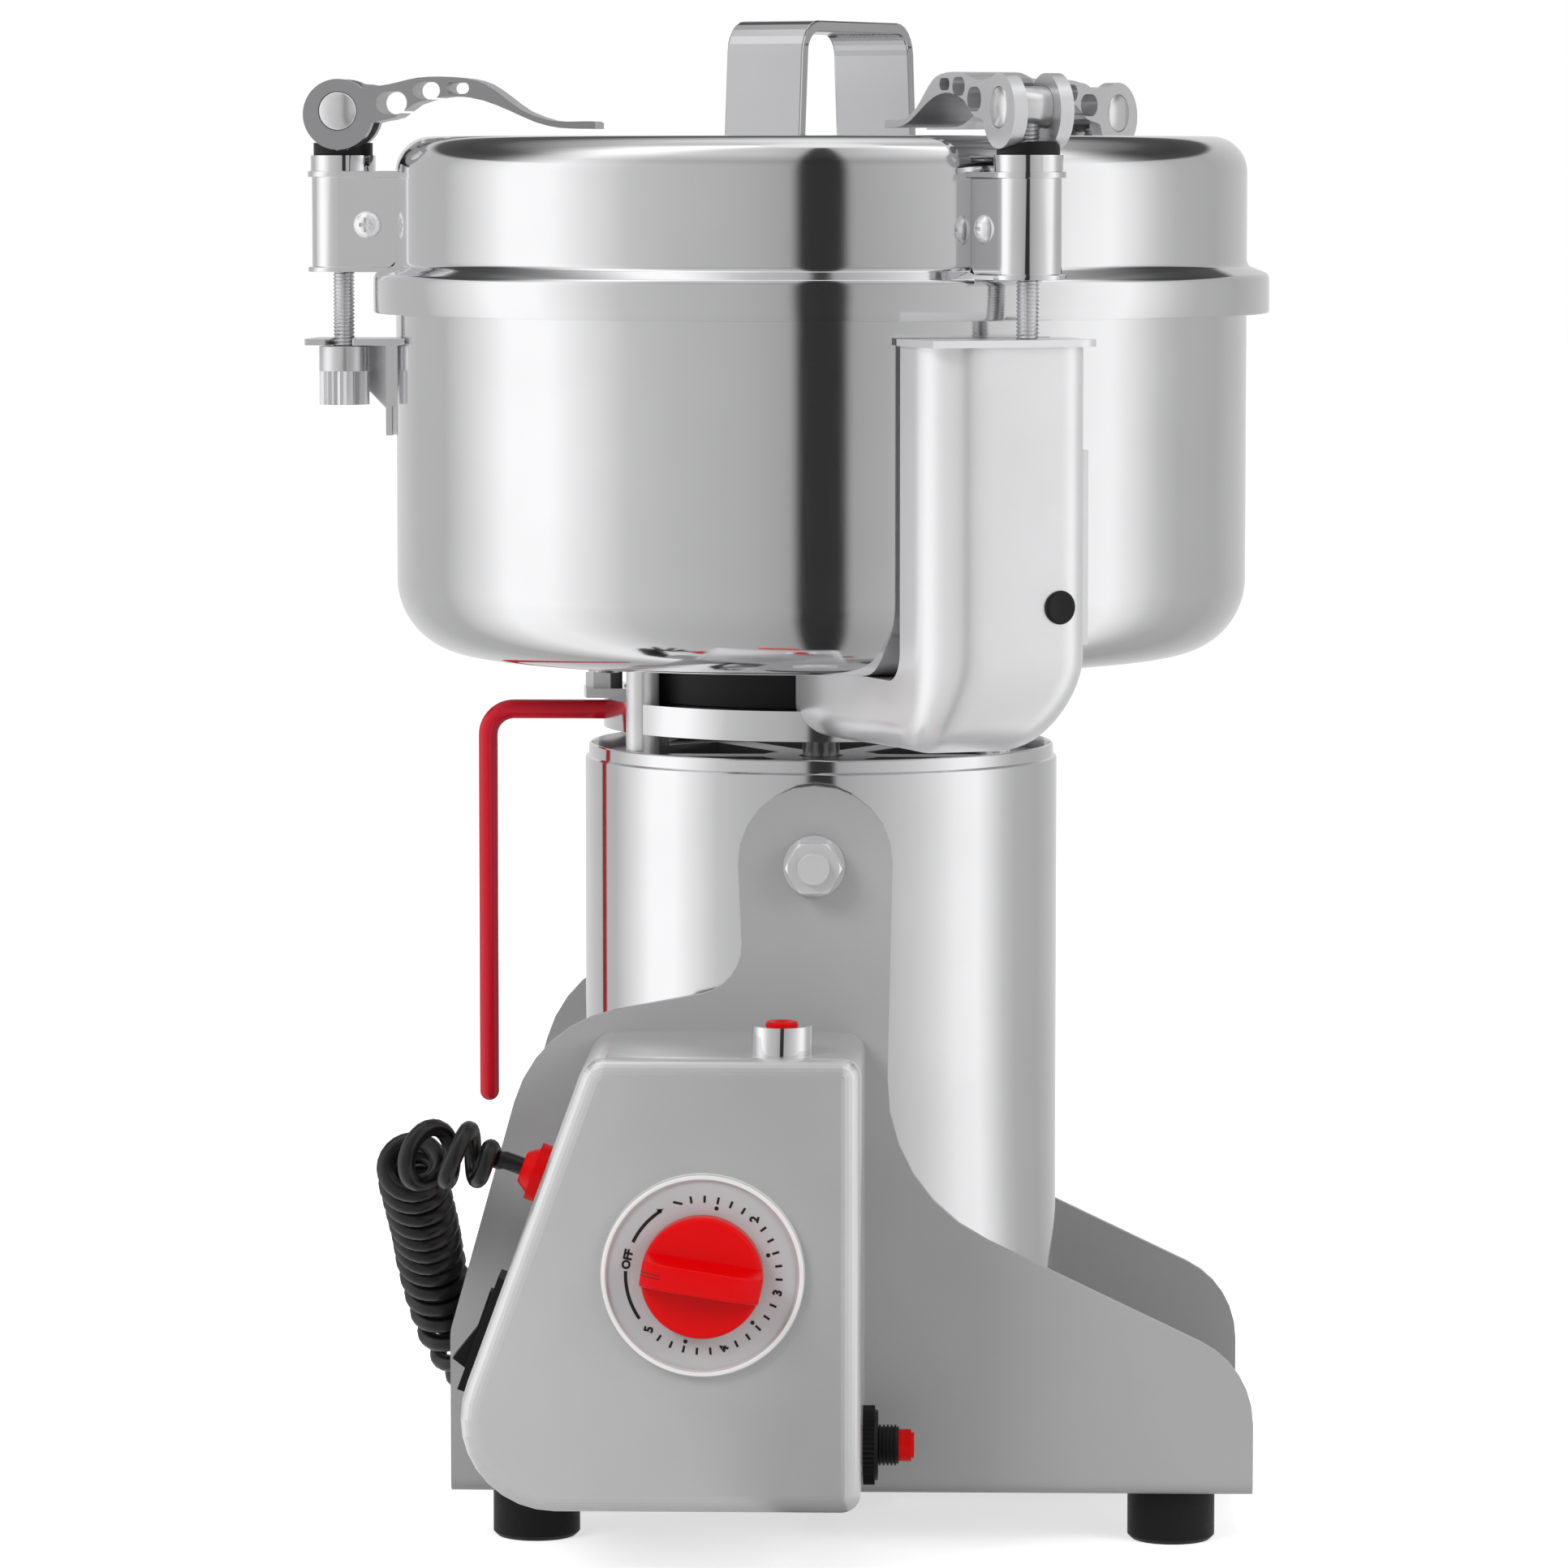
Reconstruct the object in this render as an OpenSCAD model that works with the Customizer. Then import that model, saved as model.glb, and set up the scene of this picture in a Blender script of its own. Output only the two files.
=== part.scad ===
// Electric grain mill: a high-speed grinding bowl on an upright motor that tilts
// in a U-shaped stand. Millimetres, +Z up, -Y towards the person who uses it.
// The modules are drawn about the motor's axis; placed() then moves them so that
// the middle of the footprint is the origin.

/* [Bowl] */
// Outer radius of the grinding bowl
bowl_r = 114; // [108:1:120]
// Wall of the bowl
bowl_wall = 1.6; // [1.2:0.1:2.4]
// Height of the bowl from its underside to its rim
bowl_h = 97; // [90:1:110]
// Radius of the bowl's lower corner
bowl_corner_r = 20; // [14:1:24]

/* [Lid] */
// Height of the lid's top above the bowl's rim
lid_h = 41; // [38:1:48]
// Wall of the lid
lid_wall = 1.6; // [1.2:0.1:2]
// Radius of the lid's shoulder
lid_shoulder_r = 9.5; // [7:0.5:13]
// How far the lid's skirt stands out past its wall
skirt_out = 6; // [5:0.5:8]
// How far the skirt hangs below the bowl's rim
skirt_drop = 5.9; // [5:0.1:7]
// Width of the lid's strap handle
strap_w = 23; // [18:1:28]
// Thickness of the strap
strap_t = 3; // [2.4:0.2:4]
// Length of the strap handle over its legs
strap_span = 64; // [56:1:72]
// Height of the strap handle
strap_h = 30.5; // [26:0.5:36]
// Outer bend radius of the strap
strap_bend_r = 9; // [7:0.5:12]
// Angle of the strap from the X axis
strap_turn = 62; // [-90:1:90]

/* [Clamps] */
// Distance from the bowl's wall to a clamp rod
clamp_reach = 16; // [15.5:0.1:17]
// Angle of the first clamp from the X axis
clamp_first = 175; // [170:1:178]
// Diameter of the threaded clamp rods
rod_d = 6; // [5:0.5:6.5]
// Diameter of the knurled nuts
nut_d = 13.6; // [12.8:0.2:14]
// Height of the knurled nuts
nut_h = 15.8; // [14:0.2:18]
// Radius of the clamp housings
housing_r = 8.5; // [8.2:0.1:9]
// Height of the clamp housings
housing_h = 24.2; // [22:0.2:25]
// Radius of the cam discs on the levers
cam_r = 9.5; // [9:0.1:10]
// How far the cam discs are off the centre of their pins
cam_throw = 0.9; // [0.6:0.1:1.1]
// Diameter of the cross pins
cam_pin_d = 10.5; // [9.5:0.5:11]
// Length of a lever from its pin to its tip
lever_len = 70; // [62:1:76]
// Width of a lever over its two cheeks
lever_w = 16.5; // [15.5:0.5:17]

/* [Grinding blades] */
// Diameter of the shaft
shaft_d = 10; // [9:0.5:11]
// Length of a blade from tip to tip
blade_span = 176; // [150:2:184]
// Width of a blade
blade_w = 22; // [18:1:25]
// Thickness of a blade
blade_t = 2.5; // [2:0.1:3.5]
// Distance between neighbouring blades
blade_pitch = 11; // [9:0.5:13]

/* [Motor] */
// Outer radius of the motor barrel
barrel_r = 63.6; // [60:0.2:64]
// Height of the motor barrel
barrel_h = 157; // [150:1:160]
// Wall of the motor barrel
barrel_wall = 2; // [1.6:0.1:3]
// Radius of the barrel's lower corner
barrel_corner_r = 15; // [12:1:18]
// Height of the barrel's rolled rim
barrel_rim_h = 4.4; // [3:0.2:6]
// Thickness of the stator's ring
stator_back = 11.6; // [9:0.2:14]
// Height of the stator core
stator_h = 50; // [44:1:56]
// Radius of the armature core
armature_r = 26; // [22:1:28]
// Thickness of the support ring between motor and bowl
ring_t = 8; // [7:0.5:10]
// Gap between the barrel's rim and the support ring
ring_gap = 4.4; // [3.6:0.2:6]
// Thickness of the insulating disc under the bowl
disc_t = 12; // [10:0.5:13]
// Diameter of the spacer posts
post_d = 8.8; // [7:0.2:10]

/* [Guard channel] */
// Width of the guard channel
guard_w = 49; // [46:1:52]
// Depth of the guard channel's upright part
guard_d = 22.5; // [21.5:0.5:24]
// Height of the guard channel's lower arm
guard_arm_h = 15; // [12:0.5:16]
// Sheet thickness of the guard channel
guard_t = 1.4; // [1:0.1:1.8]
// Outer radius of the guard channel's elbow
guard_elbow_r = 22; // [16:1:22]

/* [Swing handle] */
// Diameter of the handle rod
handle_d = 5.2; // [4.6:0.2:6]
// Distance from the motor axis to the upright part of the handle
handle_reach = 90; // [86:1:96]
// Length of the handle's upright part
handle_drop = 104; // [90:1:110]
// Bend radius of the handle
handle_bend_r = 7; // [6:0.5:10]

/* [Stand] */
// Height of the barrel's bottom above the stand's underside
barrel_clear = 35.8; // [34:0.2:38]
// Radius of the lugs around the tilting axis
lug_r = 20.8; // [18:0.2:22]
// Reach of the stand to the left of the tilting axis
stand_left = 95.5; // [94:0.5:98]
// Reach of the stand to the right of the tilting axis
stand_right = 115; // [110:1:118]
// Sheet thickness of the stand
stand_t = 3; // [2.5:0.1:3.5]
// Clearance between the barrel and each of the stand's plates
plate_clear = 3.4; // [2.4:0.2:5.4]
// Diameter of the pivot bolts
pivot_d = 8; // [7:0.5:10]
// Diameter of the rubber feet
foot_d = 23; // [20:1:26]
// Height of the rubber feet
foot_h = 14.2; // [12:0.2:18]

/* [Control box] */
// Depth of the control box
box_d = 58; // [54:1:62]
// Height of the control box
box_h = 116.8; // [114:0.4:120]
// Wall of the control box
box_wall = 2.6; // [2:0.2:3.4]
// Edge radius of the control box
box_edge_r = 5; // [4:0.5:6]
// Radius of the control box's lower left corner
box_corner_r = 24; // [16:1:26]
// Radius of the timer dial
dial_r = 26; // [23:0.5:27]
// Radius of the timer knob
knob_r = 15.5; // [13:0.5:16]
// Height of the timer knob
knob_h = 15; // [12:0.5:18]
// Radius of the start switch's bezel
start_r = 7.7; // [7:0.1:8.5]
// Height of the start switch's bezel
start_h = 7.3; // [6:0.1:9]
// Radius of the circuit breaker's knurled nut
breaker_nut_r = 10.3; // [9.5:0.1:10.8]
// Length of the power rocker's frame
rocker_len = 31; // [28:0.5:33]
// Width of the power rocker's frame
rocker_w = 14; // [12:0.5:18]

/* [Curly cord] */
// Diameter of the cord
cord_d = 4.6; // [4:0.1:4.8]
// Radius of a curl at the middle of the cord
curl_r = 6.9; // [6.5:0.1:7]
// Number of curls
curls = 24; // [18:1:24]

/* [Hidden] */
$fn = 72;

// Overrun of a cut past the face that it leaves
over = 1;
// Gap between faces of pieces that move past each other
gap = 0.3;
// Running clearance of a shaft in its bore, on the radius
run = 0.05;
// Steps in each rounded corner of an outline
corner_steps = 6;

// Heights along the motor axis
// Rim of the barrel above the tilting axis
barrel_above = 27;
pivot_h = barrel_h - barrel_above + barrel_clear;
pivot_z = foot_h + pivot_h;
barrel_top = pivot_z + barrel_above;
barrel_bottom = barrel_top - barrel_h;
barrel_in_r = barrel_r - barrel_wall;
stator_r = barrel_in_r - stator_back;
stand_gap = 2 * (barrel_r + plate_clear);
ring_z = barrel_top + ring_gap;
ring_top = ring_z + ring_t;
bowl_z = ring_top + disc_t;
bowl_floor = bowl_z + bowl_wall;
rim_z = bowl_z + bowl_h;
lid_top = rim_z + lid_h;
// Height over which the lid's wall flares into its skirt, and the skirt's top above the rim
flare_h = 5.4;
flare_up = 2.6;
skirt_r = bowl_r + skirt_out;
skirt_z = rim_z - skirt_drop;
flare_z = rim_z + flare_up;
lid_inner_r = bowl_r - lid_wall;

// How far each leg of the strap handle leans in
strap_lean = 2;

// Bowl rim, gasket and seal
rim_flange = 3.2;
gasket_h = 1.6;
gasket_out = skirt_r - lid_wall;
seal_r = 15;
seal_h = 5;

// Clamps: the rods stand on one circle, a third of a turn apart
CLAMP_COUNT = 3;
clamp_r = bowl_r + clamp_reach;
sheet = 1.8;
low_plate_up = 4.7;
low_plate_t = 1.3;
top_plate_t = 1.6;
plate_lip = 1.1;
cap_h = 4.2;
cap_r = housing_r + 0.3;
housing_wall = 1.2;
housing_z = rim_z + low_plate_up + low_plate_t;
cap_z = housing_z + housing_h + top_plate_t;
saddle_floor = 1.2;
saddle_arm = 3.4;
saddle_z = cap_z + cap_h;
cam_z = saddle_z + saddle_floor + gap + cam_r;
pin_z = cam_z + cam_throw;
cheek_t = 3.7;
// Bracket flanges: the guard channel's own flange stands higher than the two brackets
bracket_drop = 13.3;
guard_drop = 10.2;
bracket_top = rim_z - bracket_drop;
guard_top = rim_z - guard_drop;
bracket_out = 9.5;
bracket_w = 20;
bracket_leg = 26;
pad_t = 1.5;
pad_h = 18;
// Slot for a rod, open on the side to which the lid turns free
slot_w = rod_d + 4 * gap;
slot_side = 8;
knurl_h = 9.1;
KNURLS = 24;
screw_r = 3.75;
screw_h = 2.4;
screw_dome = 4.4;
screw_slot = 1;
lug_out = 11;
saddle_r = 8;
// The trough is wider than the cam discs, which move sideways as they turn
trough_r = cam_r + 3 * cam_throw + gap;
screw_shank_r = 2;
screw_in = 8;
screw_up = 11.4;

// Guard channel: its middle is a little behind the front clamp's rod
guard_turn = -6.6;
guard_in = 1.4;
guard_edge_r = 3.5;
guard_low = 1.6;
guard_from = bowl_r + guard_in;
guard_to = guard_from + guard_d;
guard_z = ring_z + guard_low;
guard_window = 26;
guard_cover_up = 28;
guard_cover_h = 50;
guard_cover_low = guard_z + guard_cover_up;
guard_plug_r = 3.7;
guard_plug_y = 17.4;
guard_plug_z = guard_z + 38.3;
guard_plug_lip = 0.9;
guard_inner_r = 6;
guard_lip = 1.6;
guard_tab_w = 34;
guard_screw_r = 2;
switch_w = 7;
switch_l = 20;
switch_h = 10;
switch_plunger = 1.5;
switch_top = guard_top - sheet - nut_h - 2.6 * cam_throw - 2 * gap - switch_plunger;

// Tilting axis and stand
floor_corner_r = 4;
stand_out = stand_gap / 2 + stand_t;
// Corners of a plate's edge, from the left foot to the right one: heights as shares of the tilting
// axis's height, radii, and reaches as shares of the foot's and the lug's
edge_up_shares = [0.258, 0.747, 0.809, 0.484, 0.206];
edge_radii = [12, 34, 13, 46, 24];
shoulder_share = 0.763;
waist_share = 0.89;
lug_corner_share = 0.95;
bush_r = 6;
bush_flange_r = 9;
pivot_nut_af = 13;
pivot_nut_h = 6.5;
washer_r = 8;
washer_t = 1.4;
bolt_end = 2.4;
bolt_head_h = 5;
foot_x = [21.5, 21];
foot_in = 17;

// Control box, seen from the front
box_right = 13.3;
box_up = 5.5;
box_z = foot_h + box_up;
box_top = box_z + box_h;
box_front = -stand_out - box_d;
// Reach of the box to the left at its top, and at the corner that its lower left edge rounds off
box_top_left = 56.5;
box_low_left = 99.2;
box_slant = atan2(box_low_left - box_top_left, box_h);
box_top_corner_r = 7;
foot_round = 1.2;
foot_stud_r = 2.5;
foot_button_r = 4.5;
foot_button_h = 3;
foot_cup_r = 5;
foot_cup_d = 5;
lead_hole_x = -18;
lead_hole_up = 46;
lead_hole_z = foot_h + lead_hole_up;
lead_hole_r = 7;
lock_nut_t = 3;
button_travel = 1.5;
button_round = 0.8;
breaker_body_w = 12.6;
breaker_bevel = 0.8;
thread_deep = 0.5;
thread_pitch = 1;
THREADS = 5;
rocker_face = 5.4;
knob_lean = 9;
dial_x = -26.8;
dial_up = 61.9;
dial_z = box_z + dial_up;
dial_t = 1.4;
dial_rim_w = 1.6;
dial_rim_h = 1;
spindle_r = 3;
spindle_in = 9;
timer_w = 38;
timer_d = 24;
knob_skirt_h = 6;
knob_round = 1.5;
grip_base = 9.4;
grip_top = 6;
start_x = -7.1;
start_back = 13;
start_y = box_front + start_back;
start_hole_r = 6;
start_body_d = 24;
button_r = 4.2;
button_proud = 3;
button_in = 5;
breaker_out = 20;
breaker_y = -stand_out - breaker_out;
breaker_up = 11.4;
breaker_z = box_z + breaker_up;
breaker_neck_r = 5.3;
breaker_neck_l = 9.2;
breaker_nut_t = 3.8;
breaker_body_d = 26;
breaker_proud = 4;
rocker_up = 42.3;
rocker_z = box_z + rocker_up;
slant_out = 30;
slant_y = -stand_out - slant_out;
rocker_flange = 2.2;
rocker_lip = 2;
rocker_body_d = 14;
rocker_tilt = 9;
rocker_axis_in = 1;
rocker_pin_r = 1.2;
gland_up = 83.3;
gland_z = box_z + gland_up;
gland_r = 7.6;
gland_l = 6;
gland_neck = 3;
gland_hole_r = 5.5;

// Motor pieces, as heights below the barrel's rim or above its bottom
rim_step = 1;
rim_round = 1.2;
cover_lap = 8.6;
barrel_lip_r = barrel_r - barrel_corner_r - cover_lap;
bracket_down = 4;
end_plate_t = 5;
upper_plate_z = barrel_top - bracket_down - end_plate_t;
lower_plate_up = 20;
lower_plate_z = barrel_bottom + lower_plate_up;
SPOKES = 6;
spoke_w = 9;
boss_r = 16;
boss_h = 13;
bearing_r = 13;
bearing_h = 9;
stator_up = 62;
fan_clear = 9.6;
fan_r = barrel_in_r - fan_clear;
fan_down = 32;
fan_up = barrel_h - fan_down;
fan_h = 8;
fan_web = 2;
FAN_BLADES = 9;
commutator_r = 13;
commutator_h = 16;
commutator_up = 36;
COMMUTATOR_BARS = 12;
brush_w = 8;
brush_l = 16;
holder_wall = 2;
coil_t = 9;
coil_gap = 1;
cover_up = 3;
cover_t = 2;
VENTS = 8;
vent_r = 3.5;
post_in = 5.4;
post_circle = barrel_in_r - post_in;
post_angle = 34;
ring_step = 5;
ring_w = 14.6;
ring_r = barrel_r - ring_step;
ring_in_r = ring_r - ring_w;
tab_t = 2.5;
tab_w = 26;
tab_out = 5.4;
ring_bolt_r = 2.5;
ring_bolt_af = 8;
ring_bolt_nut_h = 4;
bolt_rise = 8.4;
// How far the swing handle and the guard's screws go into the ring
handle_in = 6;
screw_deep = 4;
seal_lip = 2;
disc_r = post_circle - post_d / 2 - gap;
disc_in_r = seal_r + gap;
shaft_low = 3;
barrel_gland_r = 6;
barrel_gland_l = 12;

// Blade stack
BLADES = 3;
hub_r = 12;
blade_bend = 22;
blade_tip_turn = 14;
blade_up = 13;
blade_tip_w = 0.62 * blade_w;
blade_nut_af = 17;
blade_nut_h = 9;
stack_z = bowl_floor + blade_up;
shaft_top = stack_z + (BLADES - 1) * blade_pitch + blade_t + blade_nut_h;

// The whole part stands on the middle of its footprint: these are its outermost places
clamp_lean = 180 - clamp_first;
reach_left = max(stand_left, (clamp_r + bracket_out) * cos(clamp_lean) + slot_side * sin(clamp_lean),
    clamp_r * cos(clamp_lean) + housing_r + plate_lip);
reach_right = max(skirt_r, stand_right);
frame_x = (reach_right - reach_left) / 2;
reach_front = -box_front + dial_t + gap + knob_h;
frame_y = (skirt_r - reach_front) / 2;

curl_first = 140;
// Route of the curly cord's middle, from the gland on the control box down behind the left
// edge of the front plate and along the stand's floor; the last points are its plain end
gland_x = -box_top_left - (box_top - gland_z) * tan(box_slant);
CURL_ROUTE = [[-92, -101, 108], [-102, -95.5, 107], [-104, -86, 101], [-103, -77, 92],
    [-102, -67.5, 83], [-101.5, -58, 74], [-99.5, -51, 63], [-96, -46, 52], [-89, -42, 42],
    [-79, -38, 34], [-67, -34, 29.5], [-55, -29, 28.5]];
END_ROUTE = [[-44, -24, 25], [-35, -19, 21.5], [-26, -14, 20], [-16, -8.5, 20], [-7, -3.5, 22.5],
    [-1.5, -0.7, 28]];

// Functions

// Unit vector along v
function unit(v) = v / norm(v);
// Points of the corner b of an outline between its neighbours a and c, rounded to radius r
function corner_points(a, b, c, r) = r == 0 ? [b] :
    let (u = unit(a - b), w = unit(c - b), half = acos(max(-1, min(1, u * w))) / 2,
         middle = b + unit(u + w) * r / sin(half),
         from = b + u * r / tan(half) - middle, to = b + w * r / tan(half) - middle,
         a0 = atan2(from[1], from[0]), turn = atan2(from[0] * to[1] - from[1] * to[0], from * to))
    [for (i = [0:corner_steps])
        middle + r * [cos(a0 + turn * i / corner_steps), sin(a0 + turn * i / corner_steps)]];
// Outline through corners [x, y, radius]
function rounded(corners) = let (n = len(corners), at = [for (c = corners) [c[0], c[1]]])
    [for (i = [0:n - 1]) each corner_points(at[(i + n - 1) % n], at[i], at[(i + 1) % n], corners[i][2])];
// Angle of clamp i
function clamp_angle(i) = clamp_first + i * 360 / CLAMP_COUNT;
// Underside of the flange that clamp i's nut draws up to
function flange_z(i) = (i == 1 ? guard_top : bracket_top) - sheet;
// A point on a Catmull-Rom curve through a, b, c and d, between b and c
function curve_point(a, b, c, d, t) =
    (2 * b + (c - a) * t + (2 * a - 5 * b + 4 * c - d) * t * t + (3 * b - a - 3 * c + d) * t * t * t) / 2;
// Points along the whole curve, n to each stretch
function curve(pts, n) = let (m = len(pts) - 1)
    concat([for (i = [0:m - 1], k = [0:n - 1])
        curve_point(pts[max(i - 1, 0)], pts[i], pts[i + 1], pts[min(i + 2, m)], k / n)], [pts[m]]);
// Direction of a path at each of its points
function directions(path) = let (m = len(path) - 1)
    [for (i = [0:m]) unit(path[min(i + 1, m)] - path[max(i - 1, 0)])];
// A normal carried along the path without twist
function normals(dirs, first) =
    [for (i = 0, n = unit(first - (first * dirs[0]) * dirs[0]); i < len(dirs);
          i = i + 1, n = i < len(dirs) ? unit(n - (n * dirs[i]) * dirs[i]) : n) n];

// Helpers

// Moves what is drawn about the motor's axis to the part's own frame
module placed() translate([-frame_x, -frame_y, 0]) children();
// Draws at clamp i: +X points outwards from the motor's axis, +Y to the side that turns free
module at_clamp(i) rotate([0, 0, clamp_angle(i)]) children();
// Draws on the control box's front: +Z points out of it
module on_front(x, z) translate([x, box_front, z]) rotate([90, 0, 0]) children();
// Draws on the control box's slanted wall at height z: +Z points out, +X up along the wall
module on_slant(z) translate([-box_top_left - (box_top - z) * tan(box_slant), slant_y, z])
    rotate([0, box_slant - 90, 0]) children();
// Draws on the control box's right wall: +Z points out of it
module on_right(y, z) translate([box_right, y, z]) rotate([0, 90, 0]) children();
// Ring about Z
module ring(r, r_in, h) difference() {
    cylinder(r = r, h = h);
    translate([0, 0, -over]) cylinder(r = r_in, h = h + 2 * over);
}
// Hexagon across flats
module hexagon(af, h) cylinder(r = af / (2 * cos(30)), h = h, $fn = 6);
// Box of a size, centred on X and Y, standing on Z = 0
module block(x, y, h) translate([-x / 2, -y / 2, 0]) cube([x, y, h]);
// Rounded rectangle centred on the origin
module round_rect(x, y, r) {
    square([x - 2 * r, y], center = true);
    square([x, y - 2 * r], center = true);
    for (sx = [-1, 1], sy = [-1, 1]) translate([sx * (x / 2 - r), sy * (y / 2 - r)]) circle(r = r);
}
// Half profile of a pot: radius r, from z0 to z1, lower corner radius c
module pot_profile(r, z0, z1, c) {
    translate([0, z0]) square([r - c, z1 - z0]);
    translate([0, z0 + c]) square([r, z1 - z0 - c]);
    translate([r - c, z0 + c]) circle(r = c);
}
// Cylinder with teeth around it, for a grip
module knurled(r, h, teeth, depth) linear_extrude(h)
    polygon([for (i = [0:2 * teeth - 1]) let (a = i * 180 / teeth, q = i % 2 == 0 ? r : r - depth)
        [q * cos(a), q * sin(a)]]);

// Stand

// Outline of one plate, from the left foot over the lug to the right foot
module plate_outline() polygon(rounded([
    [-stand_left, foot_h, 0],
    [-stand_left, foot_h + edge_up_shares[0] * pivot_h, edge_radii[0]],
    [-shoulder_share * stand_left, foot_h + edge_up_shares[1] * pivot_h, edge_radii[1]],
    [-waist_share * lug_r, foot_h + edge_up_shares[2] * pivot_h, edge_radii[2]],
    [-lug_r, pivot_z + lug_r, lug_corner_share * lug_r],
    [lug_r, pivot_z + lug_r, lug_corner_share * lug_r],
    [waist_share * lug_r, foot_h + edge_up_shares[3] * pivot_h, edge_radii[3]],
    [stand_right, foot_h + edge_up_shares[4] * pivot_h, edge_radii[4]],
    [stand_right, foot_h, 0]]));
// Section of the folded sheet: floor and two upright plates
module fold_section() difference() {
    union() {
        translate([-stand_out, foot_h + floor_corner_r])
            square([2 * stand_out, pivot_h + lug_r]);
        translate([-stand_out + floor_corner_r, foot_h])
            square([2 * (stand_out - floor_corner_r), floor_corner_r]);
        for (s = [-1, 1]) translate([s * (stand_out - floor_corner_r), foot_h + floor_corner_r])
            circle(r = floor_corner_r);
    }
    translate([-stand_gap / 2, foot_h + stand_t]) square([stand_gap, pivot_h + 2 * lug_r]);
}
// Places of the four feet
module at_feet() for (x = [-stand_left + foot_x[0], stand_right - foot_x[1]], s = [-1, 1])
    translate([x, s * (stand_out - foot_in), 0]) children();
module base_stand() color([0.62, 0.62, 0.63]) placed() difference() {
    intersection() {
        translate([-stand_left, 0, 0]) rotate([90, 0, 90])
            linear_extrude(stand_left + stand_right) fold_section();
        translate([0, stand_out + over, 0]) rotate([90, 0, 0])
            linear_extrude(2 * (stand_out + over)) plate_outline();
    }
    translate([0, stand_out + over, pivot_z]) rotate([90, 0, 0])
        cylinder(r = bush_r, h = 2 * (stand_out + over));
    at_feet() translate([0, 0, foot_h - over]) cylinder(r = foot_stud_r, h = stand_t + 2 * over);
    // Way for the leads from the box into the stand
    translate([lead_hole_x, -stand_out - over, lead_hole_z]) rotate([-90, 0, 0])
        cylinder(r = lead_hole_r, h = stand_t + 2 * over);
}
// Rubber feet, each moulded round a stud whose nut sits on the stand's floor
module rubber_feet() color([0.1, 0.1, 0.1]) placed() at_feet() {
    difference() {
        union() {
            cylinder(r1 = foot_d / 2 - foot_round, r2 = foot_d / 2, h = foot_round);
            translate([0, 0, foot_round]) cylinder(r = foot_d / 2, h = foot_h - foot_round);
            translate([0, 0, foot_h]) cylinder(r = foot_stud_r, h = stand_t);
            translate([0, 0, foot_h + stand_t]) cylinder(r = foot_button_r, h = foot_button_h);
        }
        translate([0, 0, -over]) cylinder(r = foot_cup_r, h = foot_cup_d + over);
    }
}
// Flanged bushes in the lugs: each flange keeps the barrel clear of its plate
module pivot_bushes() color([0.85, 0.85, 0.82]) placed() for (s = [-1, 1])
    translate([0, 0, pivot_z]) rotate([s * 90, 0, 0]) difference() {
        union() {
            translate([0, 0, stand_gap / 2]) cylinder(r = bush_r, h = stand_t);
            translate([0, 0, barrel_r + gap]) cylinder(r = bush_flange_r, h = stand_gap / 2 - barrel_r - gap);
        }
        translate([0, 0, barrel_r - over]) cylinder(r = pivot_d / 2 + run, h = stand_gap);
    }

// Control box

// One rounded corner of the box: radius r, depth d, front edge e
module box_corner(x, z, r, d, e) translate([x, 0, z]) rotate([90, 0, 0])
    rotate_extrude($fn = 32) intersection() {
        union() {
            square([r - e, d]);
            square([r, d - e]);
            translate([r - e, d - e]) circle(r = e);
        }
        square([r, d]);
    }
// The box's rounded shape, drawn in by t, with its open back moved back by b
module box_form(t, b) let (e = box_edge_r - t, d = box_d - t + b)
    translate([0, b - stand_out, 0]) hull() {
        box_corner(box_right - box_edge_r, box_z + box_edge_r, e, d, e);
        box_corner(box_right - box_edge_r, box_top - box_edge_r, e, d, e);
        box_corner(-box_low_left + box_corner_r / tan(45 - box_slant / 2), box_z + box_corner_r,
            box_corner_r - t, d, e);
        box_corner(-box_top_left + box_top_corner_r * tan(45 - box_slant / 2),
            box_top - box_top_corner_r, box_top_corner_r - t, d, e);
    }
module control_box() color([0.68, 0.68, 0.69]) placed() difference() {
    box_form(0, 0);
    box_form(box_wall, over);
    on_front(dial_x, dial_z) translate([0, 0, -box_wall - over])
        cylinder(r = spindle_r + over, h = box_wall + 2 * over);
    translate([start_x, start_y, box_top - box_wall - over])
        cylinder(r = start_hole_r, h = box_wall + 2 * over);
    on_right(breaker_y, breaker_z) translate([0, 0, -box_wall - over])
        cylinder(r = breaker_neck_r, h = box_wall + 2 * over);
    on_slant(gland_z) translate([0, 0, -box_wall - over])
        cylinder(r = gland_hole_r, h = box_wall + 2 * over);
    on_slant(rocker_z) translate([0, 0, -2 * box_wall])
        block(rocker_len - 2 * rocker_flange, rocker_w - 2 * rocker_flange, 2 * box_wall + over);
}
// Round plate behind the timer's knob, with a raised rim
module dial_plate() color([0.75, 0.75, 0.76]) placed() on_front(dial_x, dial_z) difference() {
    cylinder(r = dial_r, h = dial_t + dial_rim_h);
    translate([0, 0, dial_t]) cylinder(r = dial_r - dial_rim_w, h = dial_rim_h + over);
    translate([0, 0, -over]) cylinder(r = spindle_r + over, h = dial_t + 2 * over);
}
module timer_body() color([0.9, 0.9, 0.86]) placed() on_front(dial_x, dial_z) difference() {
    union() {
        translate([0, 0, -box_wall - timer_d]) block(timer_w, timer_w, timer_d);
        translate([0, 0, -box_wall]) cylinder(r = spindle_r + over, h = box_wall);
    }
    translate([0, 0, -box_wall - timer_d / 2]) cylinder(r = spindle_r + run, h = timer_d);
}
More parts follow.
